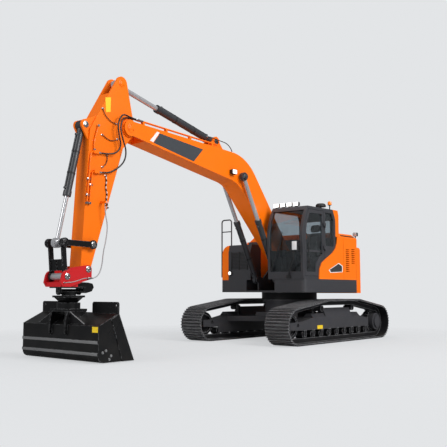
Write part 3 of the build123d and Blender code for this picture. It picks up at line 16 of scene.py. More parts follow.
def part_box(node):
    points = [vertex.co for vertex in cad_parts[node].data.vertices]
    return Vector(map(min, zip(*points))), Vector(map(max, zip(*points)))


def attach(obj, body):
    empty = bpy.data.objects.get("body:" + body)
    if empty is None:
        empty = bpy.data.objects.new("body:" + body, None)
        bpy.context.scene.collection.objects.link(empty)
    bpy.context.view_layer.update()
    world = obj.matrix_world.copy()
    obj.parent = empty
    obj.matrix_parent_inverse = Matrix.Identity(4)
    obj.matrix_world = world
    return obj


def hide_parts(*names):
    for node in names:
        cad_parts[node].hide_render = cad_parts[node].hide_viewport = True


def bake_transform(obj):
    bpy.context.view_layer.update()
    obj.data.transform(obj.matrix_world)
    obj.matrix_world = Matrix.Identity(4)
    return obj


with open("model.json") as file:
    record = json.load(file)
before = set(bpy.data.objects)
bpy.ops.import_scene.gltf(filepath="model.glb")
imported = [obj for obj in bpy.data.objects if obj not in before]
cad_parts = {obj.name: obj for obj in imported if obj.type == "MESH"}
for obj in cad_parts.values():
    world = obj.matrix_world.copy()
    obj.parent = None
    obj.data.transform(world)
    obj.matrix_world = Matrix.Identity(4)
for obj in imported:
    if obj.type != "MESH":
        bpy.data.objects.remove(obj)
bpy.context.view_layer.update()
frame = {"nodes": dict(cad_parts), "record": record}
nodes = frame["nodes"]
scene = bpy.context.scene

# %% [markdown]
# ## The camera
# The machine was photographed from the front left, low down and from some distance, with a long lens.
# The place and the two angles were found by fitting the machine's pins to the picture.

# %% Camera
camera_place = (13.66, 9.385, 1.127)
camera_yaw = 219.99
camera_rise = 5.72
lens_mm = 54.7
sensor_mm = 36.0

camera_data = bpy.data.cameras.new("front_left_camera")
camera_data.lens = lens_mm
camera_data.sensor_width = sensor_mm
camera = bpy.data.objects.new("front_left_camera", camera_data)
camera.location = camera_place
camera.rotation_euler = (radians(90 + camera_rise), 0, radians(camera_yaw - 90))
scene.collection.objects.link(camera)
scene.camera = camera
scene.view_settings.view_transform = "Standard"
print("camera at", camera_place)

# %% [markdown]
# ## Building node trees
# A material is a small graph. One helper makes a node and joins what feeds it: a plain value is written
# on the socket, and a socket is linked to it. That keeps each finish down to a few readable lines. Every
# finish is kept under its name, so that a piece can ask for it later.

# %% Node helpers
finishes = {}


def node(tree, kind, settings=None, **feeds):
    """A shader node; feeds name its inputs, with _ for a blank, or count them as i0, i1."""
    made = tree.nodes.new(kind)
    for name, value in (settings or {}).items():
        setattr(made, name, value)
    for name, value in feeds.items():
        number = name[1:]
        socket = made.inputs[int(number) if number.isdigit() else name.replace("_", " ")]
        if isinstance(value, bpy.types.NodeSocket):
            tree.links.new(value, socket)
        else:
            socket.default_value = value
    return made


def calc(tree, operation, first, second=0.0, clamp=False):
    """One operation on two values or sockets."""
    settings = {"operation": operation, "use_clamp": clamp}
    return node(tree, "ShaderNodeMath", settings, i0=first, i1=second).outputs[0]


def span(tree, value, low, high, to_low=0.0, to_high=1.0):
    """A value carried from one span to another and held at its ends."""
    made = node(tree, "ShaderNodeMapRange", {"clamp": True}, Value=value, From_Min=low, From_Max=high,
                To_Min=to_low, To_Max=to_high)
    return made.outputs["Result"]


def mixed(tree, share, first, second):
    """Two colours mixed by a share."""
    made = node(tree, "ShaderNodeMix", {"data_type": "RGBA"}, i0=share, i6=first, i7=second)
    return made.outputs[2]


def new_finish(name):
    """A named material; gives its empty node tree."""
    material = bpy.data.materials.new(name)
    material.use_nodes = True
    material.node_tree.nodes.clear()
    finishes[name] = material
    return material.node_tree


def surface(tree, **feeds):
    """The one shader of a finish, joined to its output."""
    shader = node(tree, "ShaderNodeBsdfPrincipled", **feeds)
    node(tree, "ShaderNodeOutputMaterial", Surface=shader.outputs[0])


# %% [markdown]
# ## The backdrop
# The machine stands in a bright, even studio. A world may show one thing to the camera and another to the
# surfaces it lights. Here it is the picture's pale grey to the camera and through glass, a soft fill on
# matt surfaces, and much darker in gloss, so that black paint stays black.

# %% World
backdrop_grey = (0.768, 0.783, 0.799, 1)
sky_white = (0.94, 0.97, 1.0, 1)
fill_level = 0.42
mirror_level = 0.13

world = bpy.data.worlds.new("studio")
scene.world = world
world.use_nodes = True
sky = world.node_tree
sky.nodes.clear()
rays = node(sky, "ShaderNodeLightPath").outputs
seen = calc(sky, "ADD", rays["Is Camera Ray"], rays["Is Transmission Ray"], clamp=True)
level = span(sky, rays["Is Glossy Ray"], 0.0, 1.0, fill_level, mirror_level)
lit = node(sky, "ShaderNodeBackground", Color=sky_white, Strength=level)
shown = node(sky, "ShaderNodeBackground", Color=backdrop_grey, Strength=1.0)
choice = node(sky, "ShaderNodeMixShader", i0=seen, i1=lit.outputs[0], i2=shown.outputs[0])
node(sky, "ShaderNodeOutputWorld", Surface=choice.outputs[0])
print("world fill", fill_level, "in gloss", mirror_level)

# %% [markdown]
# ## The floor
# The floor is a disc that takes the shadow and thins out to nothing before its rim, so no horizon shows.
# It glows a little by itself, which keeps the shadow pale. The camera sees a darker grey than the floor
# throws back up, because a pale floor lights the undersides of the boom and the bucket.

# %% Floor
floor_middle = (2.6, 0.4, 0.0)
floor_radius = 16.0
floor_fade = (3.6, 9.5)
floor_glow = 0.64
floor_grey = (0.20, 0.202, 0.205, 1)
floor_bounce = (0.70, 0.71, 0.72, 1)

floor_mesh = bmesh.new()
bmesh.ops.create_circle(floor_mesh, cap_ends=True, segments=96, radius=floor_radius,
                        matrix=Matrix.Translation(floor_middle))
floor_data = bpy.data.meshes.new("studio_floor")
floor_mesh.to_mesh(floor_data)
floor_mesh.free()
floor = bpy.data.objects.new("studio_floor", floor_data)
scene.collection.objects.link(floor)

tree = new_finish("studio_floor")
place = node(tree, "ShaderNodeTexCoord").outputs["Object"]
far = node(tree, "ShaderNodeVectorMath", {"operation": "DISTANCE"}, i0=place, i1=floor_middle)
fade = span(tree, far.outputs["Value"], *floor_fade)
looks = node(tree, "ShaderNodeLightPath").outputs
floor_tone = mixed(tree, looks["Is Diffuse Ray"], floor_grey, floor_bounce)
matt = node(tree, "ShaderNodeBsdfDiffuse", Color=floor_tone)
glow = calc(tree, "MULTIPLY", looks["Is Camera Ray"], floor_glow)
shine = node(tree, "ShaderNodeEmission", Color=backdrop_grey, Strength=glow)
ground = node(tree, "ShaderNodeAddShader", i0=matt.outputs[0], i1=shine.outputs[0])
clear = node(tree, "ShaderNodeBsdfTransparent")
blend = node(tree, "ShaderNodeMixShader", i0=fade, i1=ground.outputs[0], i2=clear.outputs[0])
node(tree, "ShaderNodeOutputMaterial", Surface=blend.outputs[0])
floor_data.materials.append(finishes["studio_floor"])
print("floor radius", floor_radius)

# %% [markdown]
# ## The light
# Three soft boxes light the machine: a large one high on the cab's side, which makes the orange glow, a
# weak one in front for the bucket, and one overhead. Large boxes give soft edges to the shadow.


# %% Lamps
def soft_box(name, place, target, size, watts):
    """A square area light that looks at a point."""
    data = bpy.data.lights.new(name, "AREA")
    data.size = size
    data.energy = watts
    box = bpy.data.objects.new(name, data)
    box.location = place
    aim = Vector(target) - Vector(place)
    box.rotation_euler = aim.to_track_quat("-Z", "Y").to_euler()
    scene.collection.objects.link(box)
    print(name, watts, "W")


soft_box("key_box", (2.6, 16.4, 12.0), (1.6, 0.0, 1.8), 9.0, 3000)
soft_box("front_box", (17.0, -2.0, 8.0), (4.0, 0.0, 2.0), 7.0, 700)
soft_box("top_box", (1.0, 0.0, 15.0), (1.5, 0.0, 0.0), 10.0, 700)

# %% [markdown]
# ## Shared effects
# Three effects come back in almost every finish of a machine, so each is a node group that is built once:
# the skin of sprayed paint, dust that settles on what faces up and on what is near the ground, and edges
# where paint is rubbed thin, which on the tracks and the bucket also carry a painted highlight. Each group
# puts out masks, and each material decides what to do with them.


# %% Group helpers
def new_group(name, inputs, outputs):
    """An empty shader group with number inputs and outputs."""
    tree = bpy.data.node_groups.new(name, "ShaderNodeTree")
    for label, value in inputs.items():
        socket = tree.interface.new_socket(label, in_out="INPUT", socket_type="NodeSocketFloat")
        socket.default_value = value
    for label in outputs:
        tree.interface.new_socket(label, in_out="OUTPUT", socket_type="NodeSocketFloat")
    return tree, tree.nodes.new("NodeGroupInput").outputs, tree.nodes.new("NodeGroupOutput").inputs


def use(tree, group, **values):
    """A group placed in a material with its own values."""
    return node(tree, "ShaderNodeGroup", {"node_tree": group}, **values).outputs


# %% Skin of sprayed paint
def paint_skin_group():
    """Wide mottling and the fine peel of sprayed paint."""
    tree, given, put_out = new_group("paint_skin", {"Scale": 1.0}, ("Mottle", "Peel"))
    place = node(tree, "ShaderNodeTexCoord").outputs["Object"]
    wide = calc(tree, "MULTIPLY", given["Scale"], 1.7)
    fine = calc(tree, "MULTIPLY", given["Scale"], 160.0)
    mottle = node(tree, "ShaderNodeTexNoise", Vector=place, Scale=wide, Detail=4.0)
    peel = node(tree, "ShaderNodeTexNoise", Vector=place, Scale=fine, Detail=2.0)
    tree.links.new(mottle.outputs[0], put_out["Mottle"])
    tree.links.new(peel.outputs[0], put_out["Peel"])
    return tree


paint_skin = paint_skin_group()
print("group", paint_skin.name)


# %% Settled dust
def settled_dust_group():
    """Dust on what faces up and on what lies below a height, in drifts."""
    tree, given, put_out = new_group("settled_dust", {"Amount": 0.3, "Below": 0.9}, ("Mask",))
    place = node(tree, "ShaderNodeTexCoord").outputs["Object"]
    shape = node(tree, "ShaderNodeNewGeometry")
    facing = node(tree, "ShaderNodeSeparateXYZ", Vector=shape.outputs["Normal"])
    height = node(tree, "ShaderNodeSeparateXYZ", Vector=place)
    drift = node(tree, "ShaderNodeTexNoise", Vector=place, Scale=4.5, Detail=6.0)
    up = calc(tree, "MULTIPLY", span(tree, facing.outputs["Z"], 0.35, 0.95), 0.7)
    low = calc(tree, "MULTIPLY", span(tree, height.outputs["Z"], given["Below"], 0.0), 0.6)
    patch = span(tree, drift.outputs[0], 0.38, 0.66)
    lying = calc(tree, "MULTIPLY", calc(tree, "ADD", up, low), patch)
    tree.links.new(calc(tree, "MULTIPLY", lying, given["Amount"], clamp=True), put_out["Mask"])
    return tree


settled_dust = settled_dust_group()
print("group", settled_dust.name)


# %% Rubbed edges and painted highlights
def rubbed_edge_and_highlight_group():
    """Edges found by a rounded normal, broken up by specks: paint scuffed thin, and on the tracks and the
    bucket also a painted highlight.
    """
    defaults = {"Radius": 0.006, "Amount": 0.5, "Breaks": 0.42}
    tree, given, put_out = new_group("rubbed_edge_and_highlight", defaults, ("Mask",))
    place = node(tree, "ShaderNodeTexCoord").outputs["Object"]
    shape = node(tree, "ShaderNodeNewGeometry")
    rounded = node(tree, "ShaderNodeBevel", {"samples": 4}, Radius=given["Radius"])
    near = node(tree, "ShaderNodeVectorMath", {"operation": "DOT_PRODUCT"}, i0=rounded.outputs[0],
                i1=shape.outputs["Normal"])
    edge = span(tree, near.outputs["Value"], 0.985, 0.86)
    speck = node(tree, "ShaderNodeTexNoise", Vector=place, Scale=26.0, Detail=5.0)
    full = calc(tree, "ADD", given["Breaks"], 0.18)
    broken = span(tree, speck.outputs[0], given["Breaks"], full)
    rubbed_and_highlit = calc(tree, "MULTIPLY", edge, broken)
    tree.links.new(calc(tree, "MULTIPLY", rubbed_and_highlit, given["Amount"], clamp=True), put_out["Mask"])
    return tree


rubbed_edge_and_highlight = rubbed_edge_and_highlight_group()
print("group", rubbed_edge_and_highlight.name)

# %% [markdown]
# ## Worn surfaces
# Sprayed metal, cast steel, rubber and vinyl differ in a handful of numbers: colour, gloss, how strong the
# skin is, how much dust lies on it and what shows at an edge: rubbed paint, and on the tracks and the bucket
# also a painted highlight. Painting a texture for each would tie it to one shape, so one function takes
# those numbers and joins the groups.

# %% Finish maker
dust_colour = (0.36, 0.31, 0.25, 1)
primer_grey = (0.20, 0.20, 0.20, 1)


# bare is the colour that shows at rubbed edges; on the tracks and the bucket it is partly a painted
# highlight.
def finish(name, colour, rough, bare=primer_grey, wear_and_highlight=0.0, dust=0.05, peel=0.02, skin=1.0, metallic=0.0,
           coat=0.0, vary=0.10, below=0.9, edge=0.006, gloss=0.5, breaks=0.42):
    """A scuffed, dusty, slightly uneven surface of one colour; on the tracks and the bucket the pale edges
    are partly a painted highlight.
    """
    tree = new_finish(name)
    film = use(tree, paint_skin, Scale=skin)
    rubbed_and_highlit = use(tree, rubbed_edge_and_highlight, Amount=wear_and_highlight, Radius=edge, Breaks=breaks)["Mask"]
    dusty = use(tree, settled_dust, Amount=dust, Below=below)["Mask"]
    deeper = [channel * (1 - vary) for channel in colour]
    ground = mixed(tree, film["Mottle"], (*deeper, 1), (*colour, 1))
    # Rubbed edges take the bare colour, which on the tracks and the bucket is partly a painted highlight.
    worn_and_highlit = mixed(tree, rubbed_and_highlit, ground, bare)
    shown = mixed(tree, dusty, worn_and_highlit, dust_colour)
    uneven = span(tree, film["Mottle"], 0.3, 0.7, rough * 0.85, rough * 1.12)
    dull = calc(tree, "ADD", uneven, calc(tree, "MULTIPLY", dusty, 0.35), clamp=True)
    bump = node(tree, "ShaderNodeBump", Strength=peel * 10, Distance=0.001, Height=film["Peel"])
    surface(tree, Base_Color=shown, Roughness=dull, Metallic=metallic, Specular_IOR_Level=gloss,
            Coat_Weight=coat, Coat_Roughness=0.12, Normal=bump.outputs[0])


# %% [markdown]
# ## Paints and metals
# The house, the boom and the arm are bright orange, the frames dark grey and the coupler red. Track shoes
# and the bucket are near black where paint or grime holds. Their edges are bright, partly where stones rub
# and partly as a painted highlight, so they carry the most edge wear.

# %% Paints and metals
finish("orange_paint", (0.98, 0.178, 0.002), 0.34, wear_and_highlight=0.10, dust=0.02, coat=0.06, vary=0.05, gloss=0.25)
finish("dark_paint", (0.045, 0.045, 0.051), 0.45, wear_and_highlight=0.20, dust=0.08)
finish("red_paint", (0.60, 0.006, 0.010), 0.34, wear_and_highlight=0.15, dust=0.03, coat=0.2)
finish("cylinder_paint", (0.040, 0.042, 0.047), 0.38, wear_and_highlight=0.15)
finish("rod_chrome", (0.60, 0.60, 0.62), 0.20, dust=0.03, metallic=0.55, vary=0.03, peel=0.002)
# The pale bare colour at the shoes' edges is partly scuffed steel and partly a painted highlight.
finish("track_steel", (0.014, 0.014, 0.016), 0.42, bare=(0.62, 0.62, 0.64, 1), wear_and_highlight=0.85, dust=0.06,
       peel=0.06, metallic=0.3, below=0.6, edge=0.012, breaks=0.26)
# The bucket's pale bare colour at its edges is partly scuffed paint and partly a painted highlight.
finish("tool_paint", (0.005, 0.005, 0.0055), 0.30, bare=(0.34, 0.34, 0.35, 1), wear_and_highlight=0.6, dust=0.03,
       peel=0.03, edge=0.012)
finish("zinc_plate", (0.66, 0.66, 0.67), 0.26, metallic=1.0, vary=0.12)
finish("worn_steel", (0.34, 0.34, 0.345), 0.34, bare=(0.45, 0.45, 0.45, 1), wear_and_highlight=0.3, dust=0.06, peel=0.08,
       metallic=0.5, vary=0.45)
finish("mirror_silver", (0.80, 0.82, 0.84), 0.05, dust=0.0, metallic=0.4, vary=0.0, peel=0.0)
print("finishes", len(finishes))

# %% [markdown]
# ## Rubber, plastic, cloth and vinyl
# Soft and moulded surfaces have no paint to lose. What tells them apart is the grain, which the skin's
# scale and peel set: coarse on cloth, fine on rubber, almost none on vinyl.

# %% Rubber, plastic, cloth and vinyl
finish("black_plastic", (0.014, 0.014, 0.015), 0.55, dust=0.06, peel=0.08, skin=2.0)
finish("seat_fabric", (0.022, 0.022, 0.025), 0.85, peel=0.2, skin=4.0)
finish("hose_rubber", (0.013, 0.013, 0.014), 0.46, peel=0.05, skin=2.0)
finish("grey_hose", (0.38, 0.38, 0.39), 0.42, peel=0.04, skin=2.0)
finish("slate_vinyl", (0.055, 0.060, 0.068), 0.34, dust=0.02, vary=0.04)
finish("white_vinyl", (0.82, 0.82, 0.82), 0.34, dust=0.03, vary=0.03)
finish("label_yellow", (0.88, 0.60, 0.015), 0.36, dust=0.04, vary=0.06)
print("finishes", len(finishes))

# %% [markdown]
# ## Glass
# The cab's panes are tinted and a little streaked. A lamp's glass is ribbed over a bright reflector:
# building the ribs and the reflector would cost faces that never show, so a wave bends the light and a
# glow stands for the reflector.


# %% Glass
def clear_glass(name, tint, rough=0.015):
    """A tinted pane with faint streaks."""
    tree = new_finish(name)
    film = use(tree, paint_skin, Scale=0.6)
    streak = span(tree, film["Mottle"], 0.35, 0.75, rough, rough * 3)
    surface(tree, Base_Color=tint, Roughness=streak, IOR=1.45, Transmission_Weight=1.0)


def lamp_glass(name, colour, glow):
    """Ribbed glass over a bright reflector."""
    tree = new_finish(name)
    place = node(tree, "ShaderNodeTexCoord")
    ribs = node(tree, "ShaderNodeTexWave", Vector=place.outputs["Object"], Scale=34.0)
    bump = node(tree, "ShaderNodeBump", Strength=0.35, Distance=0.002, Height=ribs.outputs[0])
    surface(tree, Base_Color=colour, Roughness=0.12, Coat_Weight=0.6, Emission_Color=colour,
            Emission_Strength=glow, Normal=bump.outputs[0])


clear_glass("cab_glass", (0.50, 0.55, 0.58, 1))
lamp_glass("lamp_glass", (0.95, 0.95, 0.93, 1), 1.4)
lamp_glass("amber_glass", (0.90, 0.22, 0.01, 1), 0.12)
print("finishes", len(finishes))

# %% [markdown]
# ## Patterns
# Two surfaces carry a pattern: the vent's plate of fine round holes and a hose wound with a pale wrap.
# Thousands of holes or turns would be heavy as shapes, so both are drawn by nodes.


# %% Patterns
def grille_mesh(name, colour, cell):
    """A plate of fine round holes."""
    tree = new_finish(name)
    place = node(tree, "ShaderNodeTexCoord").outputs["Object"]
    spots = node(tree, "ShaderNodeTexVoronoi", Vector=place, Scale=1 / cell, Randomness=0.0)
    solid = span(tree, spots.outputs["Distance"], 0.34, 0.42)
    shown = mixed(tree, solid, (0.004, 0.004, 0.004, 1), colour)
    bump = node(tree, "ShaderNodeBump", Strength=0.8, Distance=0.003, Height=solid)
    surface(tree, Base_Color=shown, Roughness=0.45, Normal=bump.outputs[0])


def striped(name, first, second, pitch):
    """Two colours in bands one above the other, as a wrap that is wound round a hose."""
    tree = new_finish(name)
    place = node(tree, "ShaderNodeTexCoord").outputs["Object"]
    height = node(tree, "ShaderNodeSeparateXYZ", Vector=place)
    turn = calc(tree, "FRACT", calc(tree, "DIVIDE", height.outputs["Z"], pitch))
    shown = mixed(tree, span(tree, turn, 0.48, 0.52), first, second)
    surface(tree, Base_Color=shown, Roughness=0.5)


striped("striped_hose", (0.012, 0.012, 0.013, 1), (0.62, 0.62, 0.60, 1), 0.085)
grille_mesh("grille_mesh", (0.05, 0.05, 0.052, 1), 0.012)
print("finishes", len(finishes))

# %% [markdown]
# ## Dressing the frame
# Each solid names its slot in the record, so its finish is looked up there.

# %% Dress the nodes
for entry in frame["record"]["subparts"]:
    solid = nodes[entry["node"]].data
    solid.materials.clear()
    solid.materials.append(finishes[entry["material_slot"]])

# %% [markdown]
# ## Tools for small pieces
# Trim, pin caps, bolts and lamp glasses come down to three shapes: a plate cut from an outline, a round
# piece turned on a lathe and a block with eased edges. Each helper adds one shape to an open mesh, so
# several bolts or bars can share one object. The last one closes the mesh and lets it ride on a body.


# %% Plates
def pull_faces(mesh, faces, way):
    """Faces pulled along a vector to a solid."""
    pulled = bmesh.ops.extrude_face_region(mesh, geom=faces)
    moved = [part for part in pulled["geom"] if isinstance(part, bmesh.types.BMVert)]
    bmesh.ops.translate(mesh, verts=moved, vec=way)


def add_plate(mesh, corners, thick):
    """A flat outline in space, pulled along a vector."""
    face = mesh.faces.new([mesh.verts.new(corner) for corner in corners])
    pull_faces(mesh, [face], thick)


def at_side(outline, y):
    """An outline in the fore and aft plane, set at a place across the machine."""
    return [(x, y, z) for x, z in outline]


# %% Round pieces
def join(mesh, part):
    """Add a finished mesh to the open one."""
    data = bpy.data.meshes.new("part")
    part.to_mesh(data)
    part.free()
    mesh.from_mesh(data)
    bpy.data.meshes.remove(data)


def standing(place, axis):
    """The move that stands a piece on a place, along an axis."""
    return Matrix.Translation(place) @ Vector(axis).to_track_quat("Z", "Y").to_matrix().to_4x4()


def add_turned(mesh, place, axis, profile, steps=24):
    """A round piece: pairs of radius and height, spun about an axis that starts at the place."""
    part = bmesh.new()
    line = [part.verts.new((radius, 0, height)) for radius, height in profile]
    rim = [part.edges.new(pair) for pair in zip(line, line[1:])]
    bmesh.ops.spin(part, geom=line + rim, axis=(0, 0, 1), cent=(0, 0, 0), dvec=(0, 0, 0), angle=2 * pi,
                   steps=steps, use_merge=True)
    bmesh.ops.remove_doubles(part, verts=part.verts, dist=1e-6)
    bmesh.ops.transform(part, matrix=standing(place, axis), verts=part.verts)
    join(mesh, part)


def add_bolt(mesh, place, axis, across, height):
    """A hexagon head on a washer."""
    way = Vector(axis).normalized()
    washer = height * 0.22
    for radius, low, high, sides in ((across * 0.72, 0.0, washer, 16), (across * 0.56, washer, height, 6)):
        middle = Vector(place) + way * (low + high) / 2
        bmesh.ops.create_cone(mesh, cap_ends=True, segments=sides, radius1=radius, radius2=radius * 0.96,
                              depth=high - low, matrix=standing(middle, axis))


# %% Blocks and closing
def add_block(mesh, low, high, ease=0.0, segments=2):
    """A block between two corners, its edges eased by a bevel."""
    middle = (Vector(low) + Vector(high)) / 2
    size = Vector(high) - Vector(low)
    shape = Matrix.Translation(middle) @ Matrix.Diagonal((*size, 1))
    made = bmesh.ops.create_cube(mesh, size=1.0, matrix=shape)
    if ease:
        rims = list({edge for vert in made["verts"] for edge in vert.link_edges})
        bmesh.ops.bevel(mesh, geom=rims, offset=ease, offset_type="OFFSET", affect="EDGES",
                        segments=segments, profile=0.5, material=-1)


def close_piece(name, mesh, body, skin, sharp=32):
    """Turn an open mesh into an object that rides on a body."""
    bmesh.ops.recalc_face_normals(mesh, faces=mesh.faces)
    data = bpy.data.meshes.new(name)
    mesh.to_mesh(data)
    mesh.free()
    data.shade_smooth()
    data.set_sharp_from_angle(angle=radians(sharp))
    data.materials.append(finishes[skin])
    made = bpy.data.objects.new(name, data)
    scene.collection.objects.link(made)
    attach(made, body)
    return made


# %% [markdown]
# ## Drawing a hose
# A hose is a soft curve: a NURBS line through a few points, with a round section. A hose that stays on one
# body can remain a curve. One that crosses a joint has its curve drawn as a mesh tube. Length and route are
# read back from the spline itself.


# %% Hose lines
def hose_line(name, points, diameter, skin):
    """A round line on one smooth spline through a route's points."""
    data = bpy.data.curves.new(name, "CURVE")
    data.dimensions = "3D"
    data.bevel_depth = diameter / 2
    data.bevel_resolution = 5
    data.resolution_u = 10
    data.use_fill_caps = True
    spline = data.splines.new("NURBS")
    spline.points.add(len(points) - 1)
    for knot, place in zip(spline.points, points):
        knot.co = (*place, 1)
    spline.order_u = 3
    spline.use_endpoint_u = True
    data.materials.append(finishes[skin])
    made = bpy.data.objects.new(name, data)
    scene.collection.objects.link(made)
    return made


def drawn(line):
    """The mesh that a curve draws."""
    return bpy.data.meshes.new_from_object(line.evaluated_get(bpy.context.evaluated_depsgraph_get()))


def route_of(line):
    """Places along a curve's spline, and its length, read from the curve without its round section."""
    depth = line.data.bevel_depth
    line.data.bevel_depth = 0
    bare = drawn(line)
    line.data.bevel_depth = depth
    places = [vert.co.copy() for vert in bare.vertices]
    bpy.data.meshes.remove(bare)
    return places, sum((after - before).length for before, after in zip(places, places[1:]))


# %% Riding hoses and hose tubes
def riding_hose(name, points, diameter, skin, body):
    """A hose that stays on one body."""
    line = hose_line(name, points, diameter, skin)
    length = round(route_of(line)[1], 3)
    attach(line, body)
    print(name, "length", length)


def bending_hose(name, points, diameter, skin, solid=None):
    """A hose drawn as a mesh tube, in the place of its solid where it has one."""
    line = hose_line(name + "_line", points, diameter, skin)
    route, length = route_of(line)
    hose = bpy.data.objects.new(name + "_tube", drawn(line))
    scene.collection.objects.link(hose)
    bpy.data.objects.remove(line)
    if solid:
        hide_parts(solid)
    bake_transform(hose)
    print(name, "length", round(length, 3))


# %% [markdown]
# ## Hoses over the arm's pivot
# Two hoses leave the pipes on the boom's back, swing out past the pivot and come down on the arm's flank. A
# thinner grey one hangs from the arm to the coupler. Each follows the points of its solid and replaces it.

# %% Long hoses
hose_diameter = 0.028
coupler_hose_diameter = 0.020
coupler_hose_y = 0.262
upper_points = ((5.1685, 0.201, 4.3039), (5.3828, 0.201, 4.3124), (5.620, 0.264, 4.335),
                (5.745, 0.275, 4.130), (5.700, 0.268, 3.905), (5.630, 0.250, 3.735), (5.725, 0.235, 3.585),
                (5.925, 0.190, 3.545), (6.1094, 0.190, 3.545))
lower_points = ((5.1685, 0.170, 4.3039), (5.3578, 0.170, 4.3115), (5.580, 0.228, 4.272),
                (5.660, 0.244, 4.070), (5.600, 0.254, 3.860), (5.515, 0.258, 3.670), (5.540, 0.250, 3.470),
                (5.690, 0.230, 3.315), (5.890, 0.190, 3.200), (6.0894, 0.190, 3.200))
coupler_points = at_side(((5.990, 2.6594), (5.990, 2.490), (5.925, 2.270), (5.955, 2.030), (6.015, 1.800),
                          (6.035, 1.590), (6.090, 1.425), (6.200, 1.350), (6.290, 1.350)), coupler_hose_y)
long_hoses = (
    ("arm_hose_upper", upper_points, hose_diameter, "hose_rubber", ("boom", "arm")),
    ("arm_hose_lower", lower_points, hose_diameter, "hose_rubber", ("boom", "arm")),
    ("coupler_hose", coupler_points, coupler_hose_diameter, "grey_hose", ("arm", "coupler")),
)
for name, points, diameter, skin, bodies in long_hoses:
    bending_hose(name, points, diameter, skin, name)

# %% [markdown]
# ## Hose ends
# Each hose is crimped into a plated sleeve behind a hexagon nut. A sleeve is a lathe profile with two
# grooves, in shares of the hose, and it points along the first or last run of its hose.

# %% Hose ends
sleeve_profile = ((0.0, 0.0), (1.25, 0.0), (1.25, 0.8), (1.12, 0.9), (1.25, 1.0), (1.25, 1.6), (1.12, 1.7),
                  (1.25, 1.8), (1.25, 2.4), (1.0, 2.6))
nut_radius = 0.82
nut_depth = 0.7
nut_middle = 0.36
stub_corners = ((6.289, 0.240, 1.332), (6.338, 0.282, 1.368))

for name, points, diameter, _, (first_body, last_body) in long_hoses:
    profile = [(radius * diameter / 2, height * diameter) for radius, height in sleeve_profile]
    short_name = name.replace("arm_hose_", "").replace("_hose", "")
    for end, place, inward, body in (("start", points[0], points[1], first_body),
                                     ("end", points[-1], points[-2], last_body)):
        way = (Vector(inward) - Vector(place)).normalized()
        sleeve = bmesh.new()
        add_turned(sleeve, place, way, profile)
        bmesh.ops.create_cone(sleeve, cap_ends=True, segments=6, radius1=diameter * nut_radius,
                              radius2=diameter * nut_radius, depth=diameter * nut_depth,
                              matrix=standing(Vector(place) + way * diameter * nut_middle, way))
        close_piece(f"hose_end_{short_name}_{end}", sleeve, body, "zinc_plate")
stub = bmesh.new()
add_block(stub, *stub_corners, ease=0.006)
close_piece("coupler_hose_stub", stub, "coupler", "zinc_plate")
print("hose ends", 2 * len(long_hoses))

# %% [markdown]
# ## Small hoses on the arm
# Thin hoses cross the arm's flank between fittings, and one in a striped wrap hangs below the lower fitting.
# They lie close to the plate and stay on the arm, so each is a curve that rides on it.

# %% Small hoses
arm_flank = 0.150
flank_gap = 0.018
thin_diameter = 0.014
wrapped_diameter = 0.022
flank_port = ((0.020, 0.0), (0.020, 0.010), (0.015, 0.012), (0.015, 0.030), (0.011, 0.034), (0.0, 0.034))
small_hoses = (
    ("arm_hose_top", thin_diameter, "hose_rubber",
     ((6.000, 4.362), (5.985, 4.310), (5.930, 4.235), (5.820, 4.165), (5.740, 4.142), (5.682, 4.140))),
    ("arm_hose_middle", thin_diameter, "hose_rubber",
     ((6.000, 3.883), (5.930, 3.850), (5.847, 3.815), (5.760, 3.815), (5.700, 3.835), (5.645, 3.866))),
    ("arm_hose_low", thin_diameter, "hose_rubber",
     ((5.891, 3.540), (5.878, 3.480), (5.889, 3.410), (5.930, 3.350), (5.986, 3.308))),
    ("arm_hose_wrapped", wrapped_diameter, "striped_hose",
     ((5.905, 3.165), (5.884, 3.080), (5.908, 2.960), (5.868, 2.840), (5.892, 2.730), (5.858, 2.650),
      (5.850, 2.600))),
)
ports = bmesh.new()
for name, diameter, skin, places in small_hoses:
    riding_hose(name, at_side(places, arm_flank + flank_gap), diameter, skin, "arm")
    for x, z in (places[0], places[-1]):
        add_turned(ports, (x, arm_flank, z), (0, 1, 0), flank_port)
close_piece("small_hose_ends", ports, "arm", "zinc_plate")

# %% [markdown]
# ## Hose of the hitch
# A thin grey hose runs on along the coupler from the stub. It moves with the coupler only, so it rides on it.

# %% Hitch hose
hitch_hose_diameter = 0.012
hitch_hose_y = 0.248
hitch_port_place = (6.806, 0.240, 1.270)
hitch_port = ((0.016, 0.0), (0.016, 0.012), (0.012, 0.020), (0.0, 0.020))
hitch_points = at_side(((6.338, 1.350), (6.400, 1.350), (6.500, 1.320), (6.620, 1.285), (6.740, 1.275),
                        (6.800, 1.270)), hitch_hose_y)
riding_hose("hitch_hose", hitch_points, hitch_hose_diameter, "grey_hose", "coupler")
port = bmesh.new()
add_turned(port, hitch_port_place, (0, 1, 0), hitch_port)
close_piece("hitch_hose_port", port, "coupler", "zinc_plate")

# %% [markdown]
# ## Hoses of the arm cylinder
# Behind its foot the arm cylinder takes its oil from two short hoses that curve back past the pin to the
# boom's top. The barrel swings a little about that pin; both hoses are drawn as mesh tubes.

